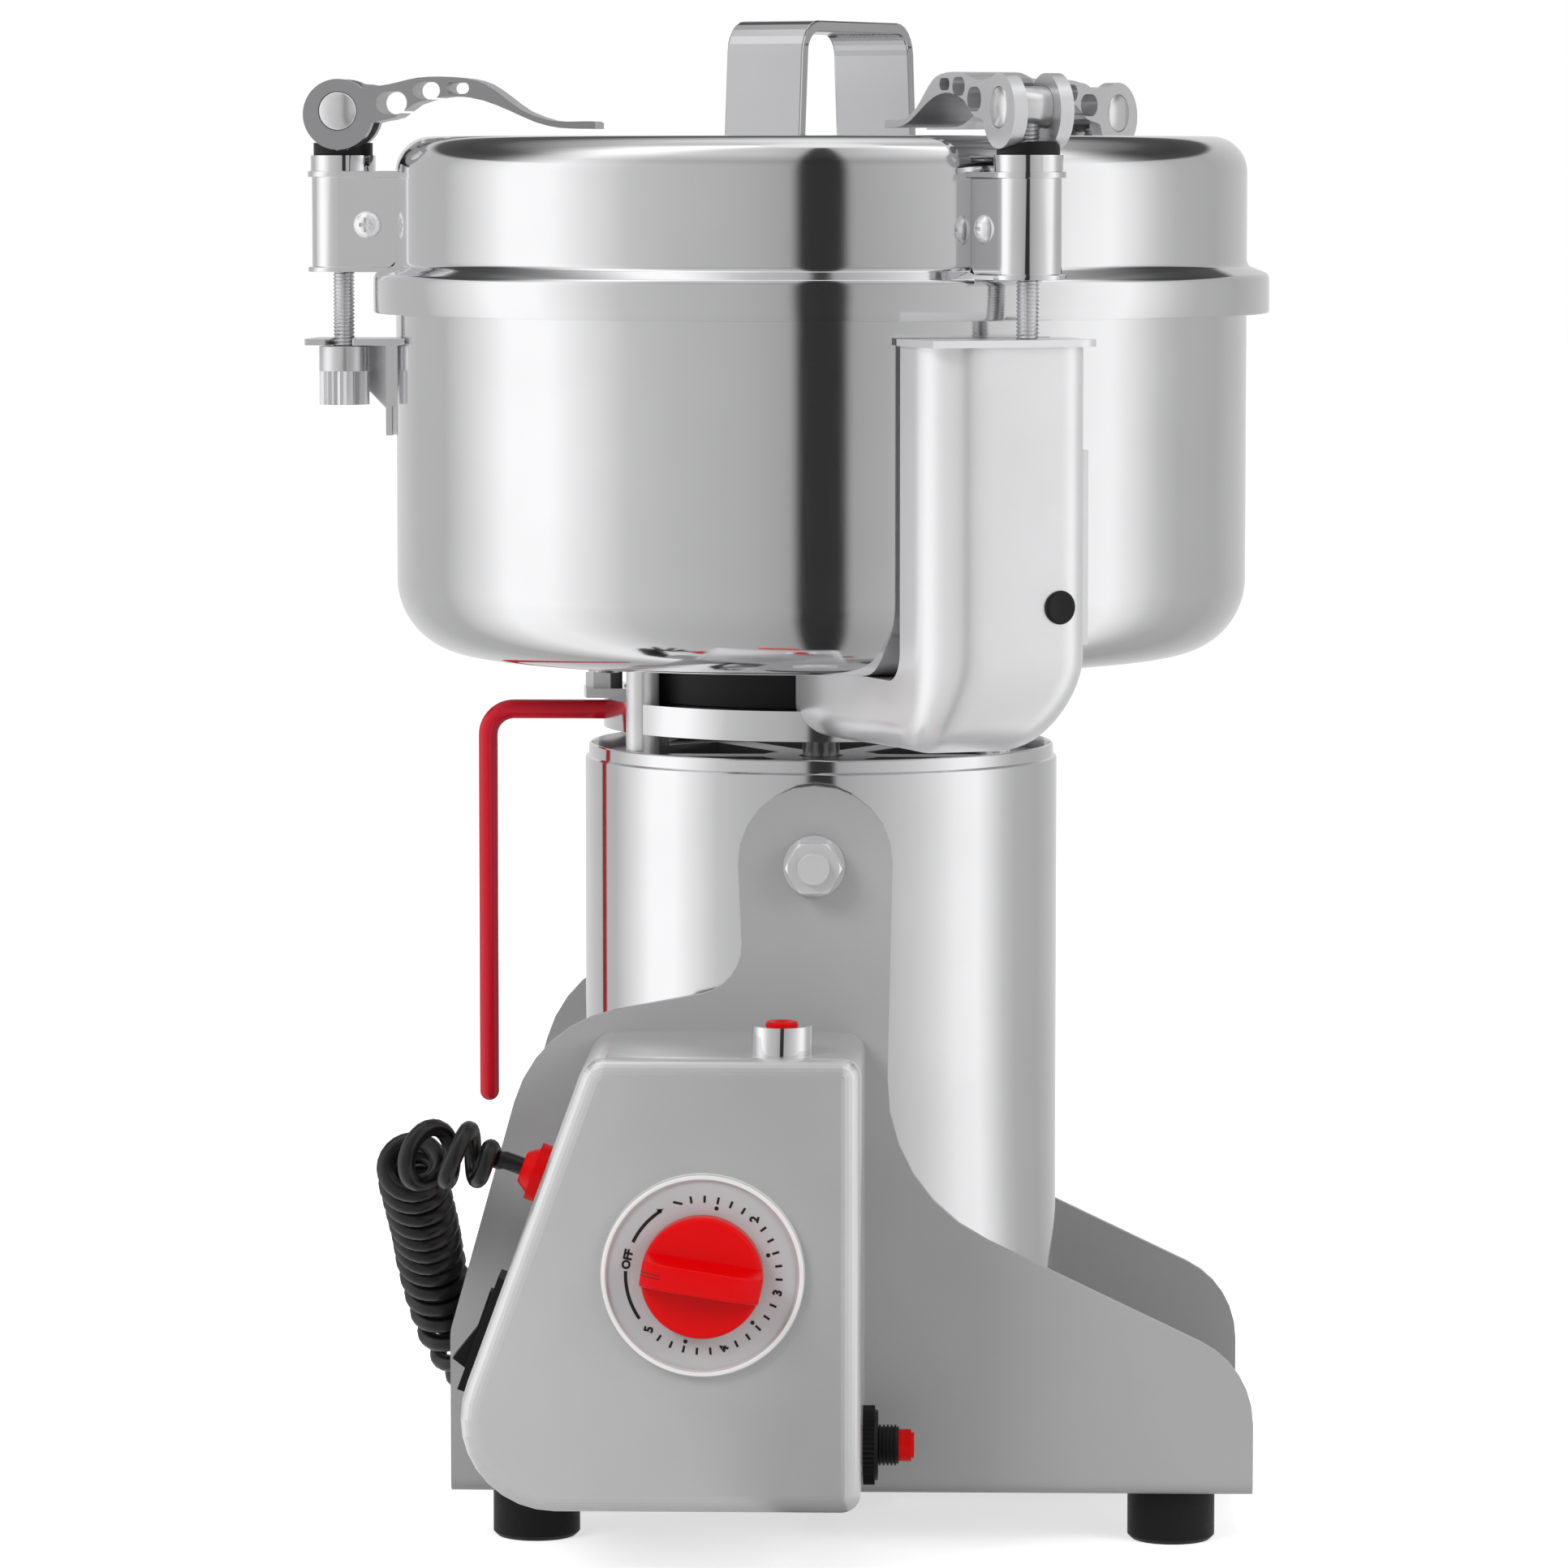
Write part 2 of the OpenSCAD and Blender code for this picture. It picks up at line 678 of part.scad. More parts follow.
// Knob with its grip bar on the timer's spindle
module timer_knob() color([0.85, 0.05, 0.06]) placed() on_front(dial_x, dial_z) {
    translate([0, 0, dial_t + gap]) rotate([0, 0, -knob_lean]) difference() {
        union() {
            cylinder(r = knob_r, h = knob_skirt_h - knob_round);
            cylinder(r = knob_r - knob_round, h = knob_skirt_h);
            translate([0, 0, knob_skirt_h - knob_round]) rotate_extrude()
                intersection() {
                    translate([knob_r - knob_round, 0]) circle(r = knob_round);
                    square([knob_r, knob_round]);
                }
            intersection() {
                cylinder(r = knob_r, h = knob_h);
                rotate([90, 0, 90]) translate([0, 0, -knob_r]) linear_extrude(2 * knob_r)
                    polygon(rounded([[-grip_base / 2, knob_round, 0], [grip_base / 2, knob_round, 0],
                        [grip_top / 2, knob_h, knob_round], [-grip_top / 2, knob_h, knob_round]]));
            }
        }
        translate([0, 0, -over]) cylinder(r = spindle_r, h = spindle_in + over);
    }
    translate([0, 0, -box_wall - timer_d / 2 + gap]) cylinder(r = spindle_r,
        h = box_wall + timer_d / 2 + dial_t + spindle_in - gap);
}
// Polished bezel of the start switch with its threaded body below
module start_switch() color([0.85, 0.85, 0.86]) placed() translate([start_x, start_y, box_top])
    difference() {
        union() {
            cylinder(r = start_r, h = start_h);
            translate([0, 0, -start_body_d]) cylinder(r = start_hole_r, h = start_body_d);
            translate([0, 0, -box_wall - lock_nut_t]) hexagon(2 * start_r, lock_nut_t);
        }
        translate([0, 0, start_h - button_in]) cylinder(r = button_r + run, h = button_in + over);
    }
module start_button() color([0.8, 0.05, 0.06]) placed() translate([start_x, start_y, box_top + start_h]) {
    translate([0, 0, -button_in + button_travel + gap])
        cylinder(r = button_r, h = button_in + button_proud - button_travel - gap - button_round);
    cylinder(r = button_r - button_round, h = button_proud);
    translate([0, 0, button_proud - button_round]) rotate_extrude() intersection() {
        translate([button_r - button_round, 0]) circle(r = button_round);
        square([button_r, button_round]);
    }
}
// Circuit breaker: body in the box, threaded neck through the wall
module breaker_body() color([0.07, 0.07, 0.07]) placed() on_right(breaker_y, breaker_z) difference() {
    union() {
        translate([0, 0, -box_wall - breaker_body_d]) block(breaker_body_w, breaker_body_w, breaker_body_d);
        translate([0, 0, -box_wall]) cylinder(r = breaker_neck_r - thread_deep, h = box_wall + breaker_neck_l);
        for (i = [0:THREADS - 1]) translate([0, 0, breaker_nut_t + (i + 0.25) * thread_pitch])
            cylinder(r = breaker_neck_r, h = thread_pitch / 2);
        translate([0, 0, -box_wall]) cylinder(r = breaker_neck_r, h = box_wall + breaker_nut_t);
    }
    translate([0, 0, breaker_neck_l - button_in]) cylinder(r = button_r + run, h = button_in + over);
}
module breaker_nut() color([0.07, 0.07, 0.07]) placed() on_right(breaker_y, breaker_z) difference() {
    union() {
        knurled(breaker_nut_r, breaker_nut_t - breaker_bevel, 2 * KNURLS, thread_deep);
        translate([0, 0, breaker_nut_t - breaker_bevel])
            cylinder(r1 = breaker_nut_r - 2 * thread_deep, r2 = breaker_nut_r - thread_deep - breaker_bevel,
                h = breaker_bevel);
    }
    translate([0, 0, -over]) cylinder(r = breaker_neck_r, h = breaker_nut_t + 2 * over);
}
module breaker_button() color([0.8, 0.05, 0.06]) placed() on_right(breaker_y, breaker_z)
    translate([0, 0, breaker_neck_l]) {
        translate([0, 0, -button_in + button_travel + gap])
            cylinder(r = button_r, h = button_in + breaker_proud - button_travel - gap - button_round);
        cylinder(r = button_r - button_round, h = breaker_proud);
    }
// Frame of the power rocker in the slanted wall
module rocker_frame() color([0.06, 0.06, 0.06]) placed() on_slant(rocker_z) difference() {
    union() {
        block(rocker_len, rocker_w, rocker_lip);
        translate([0, 0, -rocker_body_d])
            block(rocker_len - 2 * rocker_flange, rocker_w - 2 * rocker_flange, rocker_body_d);
    }
    translate([0, 0, -rocker_body_d + box_wall])
        block(rocker_len - 4 * rocker_flange, rocker_w - 3 * rocker_flange, rocker_body_d + rocker_lip + over);
    translate([0, 0, -rocker_axis_in]) rotate([90, 0, 0])
        cylinder(r = rocker_pin_r + run, h = rocker_w, center = true);
}
// Rocker: a flat vee that tips about the pin through its frame
module rocker_paddle() color([0.05, 0.05, 0.05]) placed() on_slant(rocker_z)
    let (l = rocker_len / 2 - 2 * rocker_flange - gap, w = rocker_w - 3 * rocker_flange - 2 * gap,
         top = l - rocker_face * sin(rocker_tilt), h = l * tan(rocker_tilt))
    translate([0, 0, -rocker_axis_in]) rotate([90, rocker_tilt, 0]) {
        linear_extrude(w, center = true)
            polygon([[-l, 0], [l, 0], [top, rocker_face], [0, rocker_face - h], [-top, rocker_face]]);
        cylinder(r = rocker_pin_r, h = rocker_w - 2 * rocker_flange - 2 * gap, center = true);
    }

// Motor

// Barrel: a drawn shell with a rolled rim, open above, turned in below
module motor_barrel() color([0.86, 0.86, 0.87]) placed() difference() {
    rotate_extrude() difference() {
        union() {
            pot_profile(barrel_r, barrel_bottom, barrel_top - barrel_rim_h, barrel_corner_r);
            translate([0, barrel_top - barrel_rim_h]) square([barrel_r - rim_step, barrel_rim_h - rim_round]);
            translate([0, barrel_top - rim_round]) square([barrel_r - rim_step - rim_round, rim_round]);
            translate([barrel_r - rim_step - rim_round, barrel_top - rim_round]) circle(r = rim_round);
        }
        pot_profile(barrel_in_r, barrel_bottom + barrel_wall, barrel_top + over, barrel_corner_r - barrel_wall);
        translate([0, barrel_bottom - over]) square([barrel_lip_r, barrel_wall + 2 * over]);
        translate([-barrel_r, barrel_bottom - over]) square([barrel_r, barrel_h + 2 * over]);
    }
    translate([0, barrel_r + over, pivot_z]) rotate([90, 0, 0])
        cylinder(r = pivot_d / 2, h = 2 * (barrel_r + over));
}
// Vented plate that closes the barrel from inside its lower lip
module bottom_cover() color([0.15, 0.15, 0.16]) placed() translate([0, 0, barrel_bottom + barrel_wall])
    difference() {
        cylinder(r = barrel_r - barrel_corner_r, h = cover_t);
        for (i = [0:VENTS - 1]) rotate([0, 0, i * 360 / VENTS])
            translate([(barrel_lip_r + barrel_gland_r) / 2, 0, -over]) cylinder(r = vent_r, h = cover_t + 2 * over);
        translate([0, 0, -over]) cylinder(r = barrel_gland_r - gland_neck, h = cover_t + 2 * over);
    }
// Gland under the barrel that takes the curly cord
module barrel_gland() color([0.08, 0.08, 0.08]) placed() difference() {
    union() {
        translate([0, 0, barrel_bottom + barrel_wall - barrel_gland_l])
            cylinder(r1 = cord_d, r2 = barrel_gland_r, h = barrel_gland_l);
        translate([0, 0, barrel_bottom + barrel_wall + cover_t])
            cylinder(r = barrel_gland_r, h = gland_neck);
        translate([0, 0, barrel_bottom + barrel_wall])
            cylinder(r = barrel_gland_r - gland_neck, h = cover_t);
    }
    translate([0, 0, barrel_bottom + barrel_wall - barrel_gland_l / 2])
        cylinder(r = cord_d / 3, h = 2 * barrel_gland_l);
}
// Spoked plate that carries a bearing; its rim seats in the barrel
module end_plate(r) difference() {
    union() {
        linear_extrude(end_plate_t) {
            difference() {
                circle(r = r);
                circle(r = r - spoke_w);
            }
            circle(r = boss_r);
            for (i = [0:SPOKES / 2 - 1]) rotate(i * 360 / SPOKES)
                square([2 * r - spoke_w, spoke_w], center = true);
        }
        translate([0, 0, end_plate_t - boss_h]) cylinder(r = boss_r, h = boss_h - end_plate_t);
    }
    translate([0, 0, end_plate_t - boss_h + (boss_h - bearing_h) / 2]) cylinder(r = bearing_r, h = bearing_h);
    translate([0, 0, -boss_h]) cylinder(r = shaft_d / 2 + over, h = 2 * boss_h + over);
}
module end_brackets() color([0.5, 0.5, 0.52]) placed() {
    translate([0, 0, upper_plate_z]) end_plate(barrel_in_r);
    translate([0, 0, lower_plate_z]) end_plate(barrel_in_r);
}
module shaft_bearings() color([0.8, 0.8, 0.82]) placed() for (z = [upper_plate_z, lower_plate_z])
    translate([0, 0, z + end_plate_t - boss_h + (boss_h - bearing_h) / 2])
        ring(bearing_r, shaft_d / 2 + run, bearing_h);
// Two-pole stator: round core with a pole on each side of the armature
module stator_core() color([0.45, 0.45, 0.47]) placed()
    translate([0, 0, barrel_bottom + stator_up]) linear_extrude(stator_h) {
        difference() {
            circle(r = barrel_in_r);
            circle(r = stator_r);
        }
        difference() {
            intersection() {
                circle(r = stator_r);
                square([2 * stator_r, armature_r], center = true);
            }
            circle(r = armature_r + coil_gap);
        }
    }
// Field coils round the two poles
module field_coils() color([0.72, 0.38, 0.16]) placed() for (s = [-1, 1])
    translate([s * (armature_r + 3 * coil_gap), 0, barrel_bottom + stator_up + stator_h / 2])
        rotate([0, s * 90, 0]) difference() {
            linear_extrude(coil_t) round_rect(stator_h + 2 * (coil_t + coil_gap),
                armature_r + 2 * (coil_t + coil_gap), coil_t);
            translate([0, 0, -over]) linear_extrude(coil_t + 2 * over)
                square([stator_h + 2 * gap, armature_r + 2 * gap], center = true);
        }
// Two brass brush holders, each with its carbon brush
module brush_gear() color([0.75, 0.6, 0.25]) placed() for (s = [0, 180]) rotate([0, 0, s])
    translate([commutator_r + gap, 0, barrel_bottom + commutator_up + commutator_h / 2]) {
        translate([0, -brush_w / 2, -brush_w / 2]) cube([brush_l, brush_w, brush_w]);
        difference() {
            translate([2 * gap, -brush_w / 2 - holder_wall, -brush_w / 2 - holder_wall])
                cube([barrel_in_r - commutator_r - 4 * gap, brush_w + 2 * holder_wall, brush_w + 2 * holder_wall]);
            translate([-over, -brush_w / 2 - run, -brush_w / 2 - run])
                cube([brush_l + over + run, brush_w + 2 * run, brush_w + 2 * run]);
        }
        translate([brush_l + 2 * run, 0, 0]) rotate([0, 90, 0]) cylinder(r = brush_w / 4, h = run);
    }
// Pivot bolts with their washers and nuts
module pivot_bolts() color([0.82, 0.82, 0.83]) placed() for (s = [-1, 1])
    translate([0, 0, pivot_z]) rotate([s * 90, 0, 0]) {
        translate([0, 0, barrel_in_r - barrel_wall - bolt_head_h])
            hexagon(pivot_nut_af, bolt_head_h + barrel_wall / 2);
        translate([0, 0, barrel_in_r - barrel_wall])
            cylinder(r = pivot_d / 2, h = stand_out - barrel_in_r + barrel_wall + washer_t + pivot_nut_h + bolt_end);
        translate([0, 0, stand_out + gap / 3]) ring(washer_r, pivot_d / 2, washer_t - gap / 3);
        translate([0, 0, stand_out + washer_t]) intersection() {
            hexagon(pivot_nut_af, pivot_nut_h);
            cylinder(r1 = pivot_nut_af / 2 + pivot_nut_h, r2 = pivot_nut_af / 2 + gap, h = pivot_nut_h);
        }
    }
// Bent handle rod, from the support ring out to the left and down
module swing_handle() color([0.78, 0.08, 0.14]) placed() {
    z = ring_z + ring_t / 2;
    x = -handle_reach;
    translate([x + handle_bend_r, 0, z]) rotate([0, 90, 0])
        cylinder(r = handle_d / 2, h = handle_reach - handle_bend_r - ring_r + handle_in);
    translate([x + handle_bend_r, 0, z - handle_bend_r]) rotate([90, 0, 0])
        rotate_extrude(angle = 90, start = 90) translate([handle_bend_r, 0]) circle(r = handle_d / 2);
    translate([x, 0, z - handle_drop]) cylinder(r = handle_d / 2, h = handle_drop - handle_bend_r);
    translate([x, 0, z - handle_drop]) sphere(r = handle_d / 2);
}

// Neck between motor and bowl

module at_posts() for (a = [post_angle, 180 - post_angle, 180 + post_angle, -post_angle])
    rotate([0, 0, a]) translate([post_circle, 0, 0]) children();
module at_tab_bolts() for (s = [-1, 1]) translate([-ring_r, s * tab_w / 4, 0]) children();
// Band that joins motor and bowl, with a tab over the swing handle
module support_ring() color([0.88, 0.88, 0.89]) placed() difference() {
    union() {
        translate([0, 0, ring_z]) ring(ring_r, ring_in_r, ring_t);
        translate([0, 0, ring_top]) intersection() {
            ring(ring_r + tab_out, ring_r - tab_out, tab_t);
            translate([-ring_r - tab_out, -tab_w / 2, 0]) cube([3 * tab_out, tab_w, tab_t]);
        }
    }
    at_posts() translate([0, 0, ring_z - over]) cylinder(r = post_d / 2 + run, h = ring_t + 2 * over);
    at_tab_bolts() translate([0, 0, ring_top]) cylinder(r = ring_bolt_r, h = tab_t + over);
    at_guard() at_guard_screws() translate([0, 0, ring_top - screw_deep]) cylinder(r = guard_screw_r, h = ring_t);
    translate([-ring_r - over, 0, ring_z + ring_t / 2]) rotate([0, 90, 0])
        cylinder(r = handle_d / 2, h = handle_in + over);
}
module ring_bolts() color([0.8, 0.8, 0.81]) placed() {
    at_tab_bolts() {
        translate([0, 0, ring_top]) cylinder(r = ring_bolt_r, h = bolt_rise);
        translate([0, 0, ring_top + tab_t]) hexagon(ring_bolt_af, ring_bolt_nut_h);
    }
    at_guard() at_guard_screws() {
        translate([0, 0, ring_top - screw_deep]) cylinder(r = guard_screw_r, h = screw_deep + guard_t);
        translate([0, 0, ring_top + guard_t]) cylinder(r = 1.4 * guard_screw_r, h = guard_screw_r);
    }
}
module spacer_posts() color([0.9, 0.9, 0.91]) placed() at_posts()
    translate([0, 0, barrel_top - bracket_down]) cylinder(r = post_d / 2, h = bowl_z - barrel_top + bracket_down);
module insulating_disc() color([0.06, 0.06, 0.06]) placed() translate([0, 0, ring_top])
    ring(disc_r, disc_in_r, disc_t);

// Bowl

module grinding_bowl() color([0.88, 0.88, 0.89]) placed() rotate_extrude() difference() {
    union() {
        pot_profile(bowl_r, bowl_z, rim_z, bowl_corner_r);
        translate([0, rim_z - bowl_wall]) square([bowl_r + rim_flange, bowl_wall]);
    }
    pot_profile(bowl_r - bowl_wall, bowl_floor, rim_z + over, bowl_corner_r - bowl_wall);
    translate([-bowl_r, bowl_z - over]) square([bowl_r + seal_r - seal_lip, bowl_h + 2 * over]);
}
// Seal in the bowl's floor, round the shaft
module shaft_seal() color([0.12, 0.12, 0.12]) placed() difference() {
    union() {
        translate([0, 0, bowl_z - seal_h]) cylinder(r = seal_r, h = seal_h);
        translate([0, 0, bowl_z]) cylinder(r = seal_r - seal_lip, h = bowl_wall);
        translate([0, 0, bowl_floor]) cylinder(r = seal_r, h = seal_lip);
    }
    translate([0, 0, bowl_z - seal_h - over]) cylinder(r = shaft_d / 2 + run, h = 2 * seal_h + bowl_wall);
}
// Slot that a rod stands in and leaves on its free side
module rod_slot(z) {
    translate([clamp_r, 0, z - over]) cylinder(r = slot_w / 2, h = sheet + 2 * over);
    translate([clamp_r - slot_w / 2, 0, z - over]) cube([slot_w, guard_w, sheet + 2 * over]);
}
// Two brackets on the bowl; the guard channel's flange serves the third clamp
module bowl_brackets() color([0.84, 0.84, 0.85]) placed() for (i = [0, 2]) at_clamp(i) {
    z = flange_z(i);
    leg = bowl_r + pad_t;
    difference() {
        union() {
            translate([leg, slot_side - bracket_w, z])
                cube([clamp_r + bracket_out - leg, bracket_w, sheet]);
            translate([leg, slot_side - bracket_w, z + sheet - bracket_leg])
                cube([sheet, bracket_w, bracket_leg - sheet]);
            translate([0, slot_side - bracket_w + sheet, 0]) rotate([90, 0, 0]) linear_extrude(sheet)
                polygon([[leg, z], [clamp_r + bracket_out - sheet, z], [leg + sheet, z - bracket_leg * 0.8],
                    [leg, z - bracket_leg * 0.8]]);
        }
        rod_slot(z);
    }
    difference() {
        translate([bowl_r - pad_t, slot_side - bracket_w, z + sheet - pad_h]) cube([2 * pad_t, bracket_w, pad_h]);
        translate([0, 0, z - pad_h]) cylinder(r = bowl_r, h = 3 * pad_h, $fn = 180);
    }
}

// Guard channel: covers the safety switch and its lead, from the neck up to the front clamp

module at_guard() rotate([0, 0, clamp_angle(1) + guard_turn]) children();
// Side outline of the channel, drawn in by t
module guard_side(t) polygon(rounded([
    [0, guard_z + t, 0],
    [guard_to - t, guard_z + t, guard_elbow_r - t],
    [guard_to - t, flange_z(1), 0],
    [guard_from + t, flange_z(1), 0],
    [guard_from + t, guard_z + guard_arm_h - t, guard_inner_r + t],
    [0, guard_z + guard_arm_h - t, 0]]));
// Form of the channel, drawn in by t, with soft edges of radius r
module guard_form(t, r) intersection() {
    translate([0, guard_w / 2, 0]) rotate([90, 0, 0]) linear_extrude(guard_w) guard_side(t);
    translate([0, 0, guard_z - over]) linear_extrude(rim_z - guard_z) intersection() {
        translate([0, -guard_w / 2 + t]) square([guard_to - t, guard_w - 2 * t]);
        translate([0, 0]) round_rect(2 * (guard_to - t), guard_w - 2 * t, r);
    }
    rotate([90, 0, 90]) linear_extrude(guard_to) union() {
        translate([0, guard_z + t + guard_w / 2]) round_rect(guard_w - 2 * t, guard_w, r);
        translate([-guard_w / 2 + t, guard_z + guard_w / 2]) square([guard_w - 2 * t, rim_z - guard_z]);
    }
}
module guard_channel() color([0.8, 0.8, 0.81]) placed() {
    difference() {
        union() {
            at_guard() difference() {
                union() {
                    guard_form(0, guard_edge_r);
                    translate([guard_from, -guard_w / 2 - guard_lip / 2, flange_z(1)])
                        cube([guard_d + guard_lip, guard_w + 1.5 * guard_lip, sheet]);
                }
                difference() {
                    guard_form(guard_t, guard_edge_r - guard_t);
                    translate([0, 0, guard_top - sheet]) cylinder(r = skirt_r + guard_d, h = sheet);
                }
                translate([0, 0, guard_z - over]) cylinder(r = ring_r, h = bowl_z - guard_z);
                // Way out for the nut, and holes for the cover and the plug
                translate([guard_from + guard_t, 0, flange_z(1) - guard_window])
                    cube([guard_d - 2 * guard_t, guard_w, guard_window]);
                translate([guard_from + 2 * guard_t, 0, guard_cover_low + guard_t])
                    cube([guard_d - 4 * guard_t, guard_w, guard_cover_h - 2 * guard_t]);
                translate([guard_to - guard_t - over, guard_plug_y, guard_plug_z]) rotate([0, 90, 0])
                    cylinder(r = guard_plug_r - guard_plug_lip, h = guard_t + 2 * over);
            }
            at_guard() difference() {
                translate([disc_r + gap, -guard_tab_w / 2, ring_top])
                    cube([ring_r + guard_t - disc_r, guard_tab_w, guard_t]);
                at_guard_screws() translate([0, 0, ring_top - over])
                    cylinder(r = guard_screw_r, h = guard_t + 2 * over);
            }
            at_guard() translate([ring_r - over, -guard_w / 2 + guard_t / 2, ring_top])
                cube([over + guard_t, guard_w - guard_t, guard_t]);
        }
        at_clamp(1) rod_slot(flange_z(1));
    }
}
module at_guard_screws() for (s = [-1, 1])
    translate([(disc_r + ring_r) / 2 + gap, s * guard_tab_w / 4, 0]) children();
module guard_cover() color([0.78, 0.78, 0.79]) placed() at_guard()
    translate([guard_from + guard_t, guard_w / 2, guard_cover_low])
        cube([guard_d - 2 * guard_t, guard_t, guard_cover_h]);
module guard_plug() color([0.05, 0.05, 0.05]) placed() at_guard()
    translate([guard_to, guard_plug_y, guard_plug_z]) rotate([0, 90, 0]) {
        cylinder(r = guard_plug_r, h = guard_plug_lip);
        translate([0, 0, -guard_t]) cylinder(r = guard_plug_r - guard_plug_lip, h = guard_t);
    }
// Snap switch under the front clamp's nut
module safety_switch() color([0.1, 0.1, 0.12]) placed() at_guard()
    translate([guard_from + guard_t, -switch_l / 2, switch_top - switch_h]) {
        cube([switch_w, switch_l, switch_h]);
        translate([switch_w / 2, switch_l * 0.75, switch_h]) cylinder(r = switch_w / 4, h = switch_plunger);
    }

// Turning parts

module motor_shaft() color([0.8, 0.8, 0.82]) placed()
    translate([0, 0, lower_plate_z + end_plate_t - boss_h - shaft_low])
        cylinder(r = shaft_d / 2, h = shaft_top + bolt_end - lower_plate_z - end_plate_t + boss_h + shaft_low);
// Slotted armature core and the commutator, on the shaft
module armature() color([0.55, 0.42, 0.3]) placed() {
    translate([0, 0, barrel_bottom + stator_up]) linear_extrude(stator_h) difference() {
        circle(r = armature_r);
        for (i = [0:COMMUTATOR_BARS - 1]) rotate(i * 360 / COMMUTATOR_BARS)
            translate([armature_r, 0]) square([armature_r / 3, coil_gap * 3], center = true);
        circle(r = shaft_d / 2);
    }
    translate([0, 0, barrel_bottom + commutator_up]) linear_extrude(commutator_h) difference() {
        circle(r = commutator_r);
        for (i = [0:COMMUTATOR_BARS - 1]) rotate((i + 0.5) * 360 / COMMUTATOR_BARS)
            translate([commutator_r, 0]) square([coil_gap * 2, coil_gap / 2], center = true);
        circle(r = shaft_d / 2);
    }
}
// Cooling fan: hub, disc and straight blades
module cooling_fan() color([0.1, 0.1, 0.11]) placed() translate([0, 0, barrel_bottom + fan_up]) difference() {
    union() {
        cylinder(r = boss_r, h = fan_h + 2 * fan_web);
        cylinder(r = fan_r, h = fan_web);
        for (i = [0:FAN_BLADES - 1]) rotate([0, 0, i * 360 / FAN_BLADES])
            translate([boss_r - over, -fan_web / 2, 0]) cube([fan_r - boss_r + over - fan_web, fan_web, fan_h]);
    }
    translate([0, 0, -over]) cylinder(r = shaft_d / 2, h = fan_h + 3 * fan_web + over);
}
// One blade: a bar that narrows towards its ground tips, which are bent up by angle a
module blade(a) {
    flat = blade_span / 2 - blade_bend;
    // The bent tip's points, from lengths along it and above its underside
    function tip(u, v) = [flat + u * cos(a) - v * sin(a), u * sin(a) + v * cos(a)];
    side = [[flat, 0], tip(blade_bend - blade_t, 0), tip(blade_bend, blade_t),
        [flat - blade_t * tan(a / 2), blade_t]];
    difference() {
        intersection() {
            linear_extrude(blade_span) {
                circle(r = hub_r);
                polygon([for (s = [1, -1], q = [[blade_span / 2, -blade_tip_w / 2], [blade_span / 2, blade_tip_w / 2],
                    [flat, blade_tip_w / 2], [0, blade_w / 2]]) s * q]);
            }
            translate([0, blade_w, 0]) rotate([90, 0, 0]) linear_extrude(2 * blade_w)
                polygon([each side, for (i = [len(side) - 1:-1:0]) [-side[i][0], side[i][1]]]);
        }
        translate([0, 0, -over]) cylinder(r = shaft_d / 2, h = blade_t + 2 * over);
    }
}
// Three blades a third of a turn apart: the lowest lies flat, the others' tips turn up
module grinding_blades() color([0.78, 0.78, 0.8]) placed() for (i = [0:BLADES - 1])
    translate([0, 0, stack_z + i * blade_pitch]) rotate([0, 0, i * 180 / BLADES]) blade(i * blade_tip_turn);
module blade_spacers() color([0.7, 0.7, 0.72]) placed() {
    translate([0, 0, bowl_floor + seal_lip + gap]) ring(hub_r, shaft_d / 2, blade_up - seal_lip - gap);
    for (i = [0:BLADES - 2]) translate([0, 0, stack_z + i * blade_pitch + blade_t])
        ring(hub_r, shaft_d / 2, blade_pitch - blade_t);
}
module blade_nut() color([0.82, 0.82, 0.84]) placed()
    translate([0, 0, stack_z + (BLADES - 1) * blade_pitch + blade_t]) difference() {
        union() {
            cylinder(r = hub_r, h = sheet);
            hexagon(blade_nut_af, blade_nut_h);
        }
        translate([0, 0, -over]) cylinder(r = shaft_d / 2, h = blade_nut_h + 2 * over);
    }

// Lid

// Half profile of the lid's outside, drawn in by t
module lid_profile(t) {
    polygon([[0, skirt_z - over * t], [skirt_r - t, skirt_z - over * t], [skirt_r - t, flare_z],
        [bowl_r - t, flare_z + flare_h], [bowl_r - t, lid_top - lid_shoulder_r], [0, lid_top - lid_shoulder_r]]);
    translate([0, lid_top - lid_shoulder_r]) square([bowl_r - lid_shoulder_r, lid_shoulder_r - t]);
    translate([bowl_r - lid_shoulder_r, lid_top - lid_shoulder_r]) circle(r = lid_shoulder_r - t);
}
module lid_shell() color([0.88, 0.88, 0.89]) placed() rotate_extrude() difference() {
    lid_profile(0);
    lid_profile(lid_wall);
    translate([-bowl_r, skirt_z - over]) square([bowl_r, rim_z]);
}
// Gasket that fills the step under the lid's flare
module lid_gasket() color([0.92, 0.92, 0.9]) placed() let (inner = lid_inner_r - rim_flange)
    rotate_extrude() polygon([[inner, rim_z + gap], [gasket_out, rim_z + gap], [gasket_out, flare_z],
        [gasket_out - gasket_h * skirt_out / flare_h, flare_z + gasket_h], [inner, flare_z + gasket_h]]);
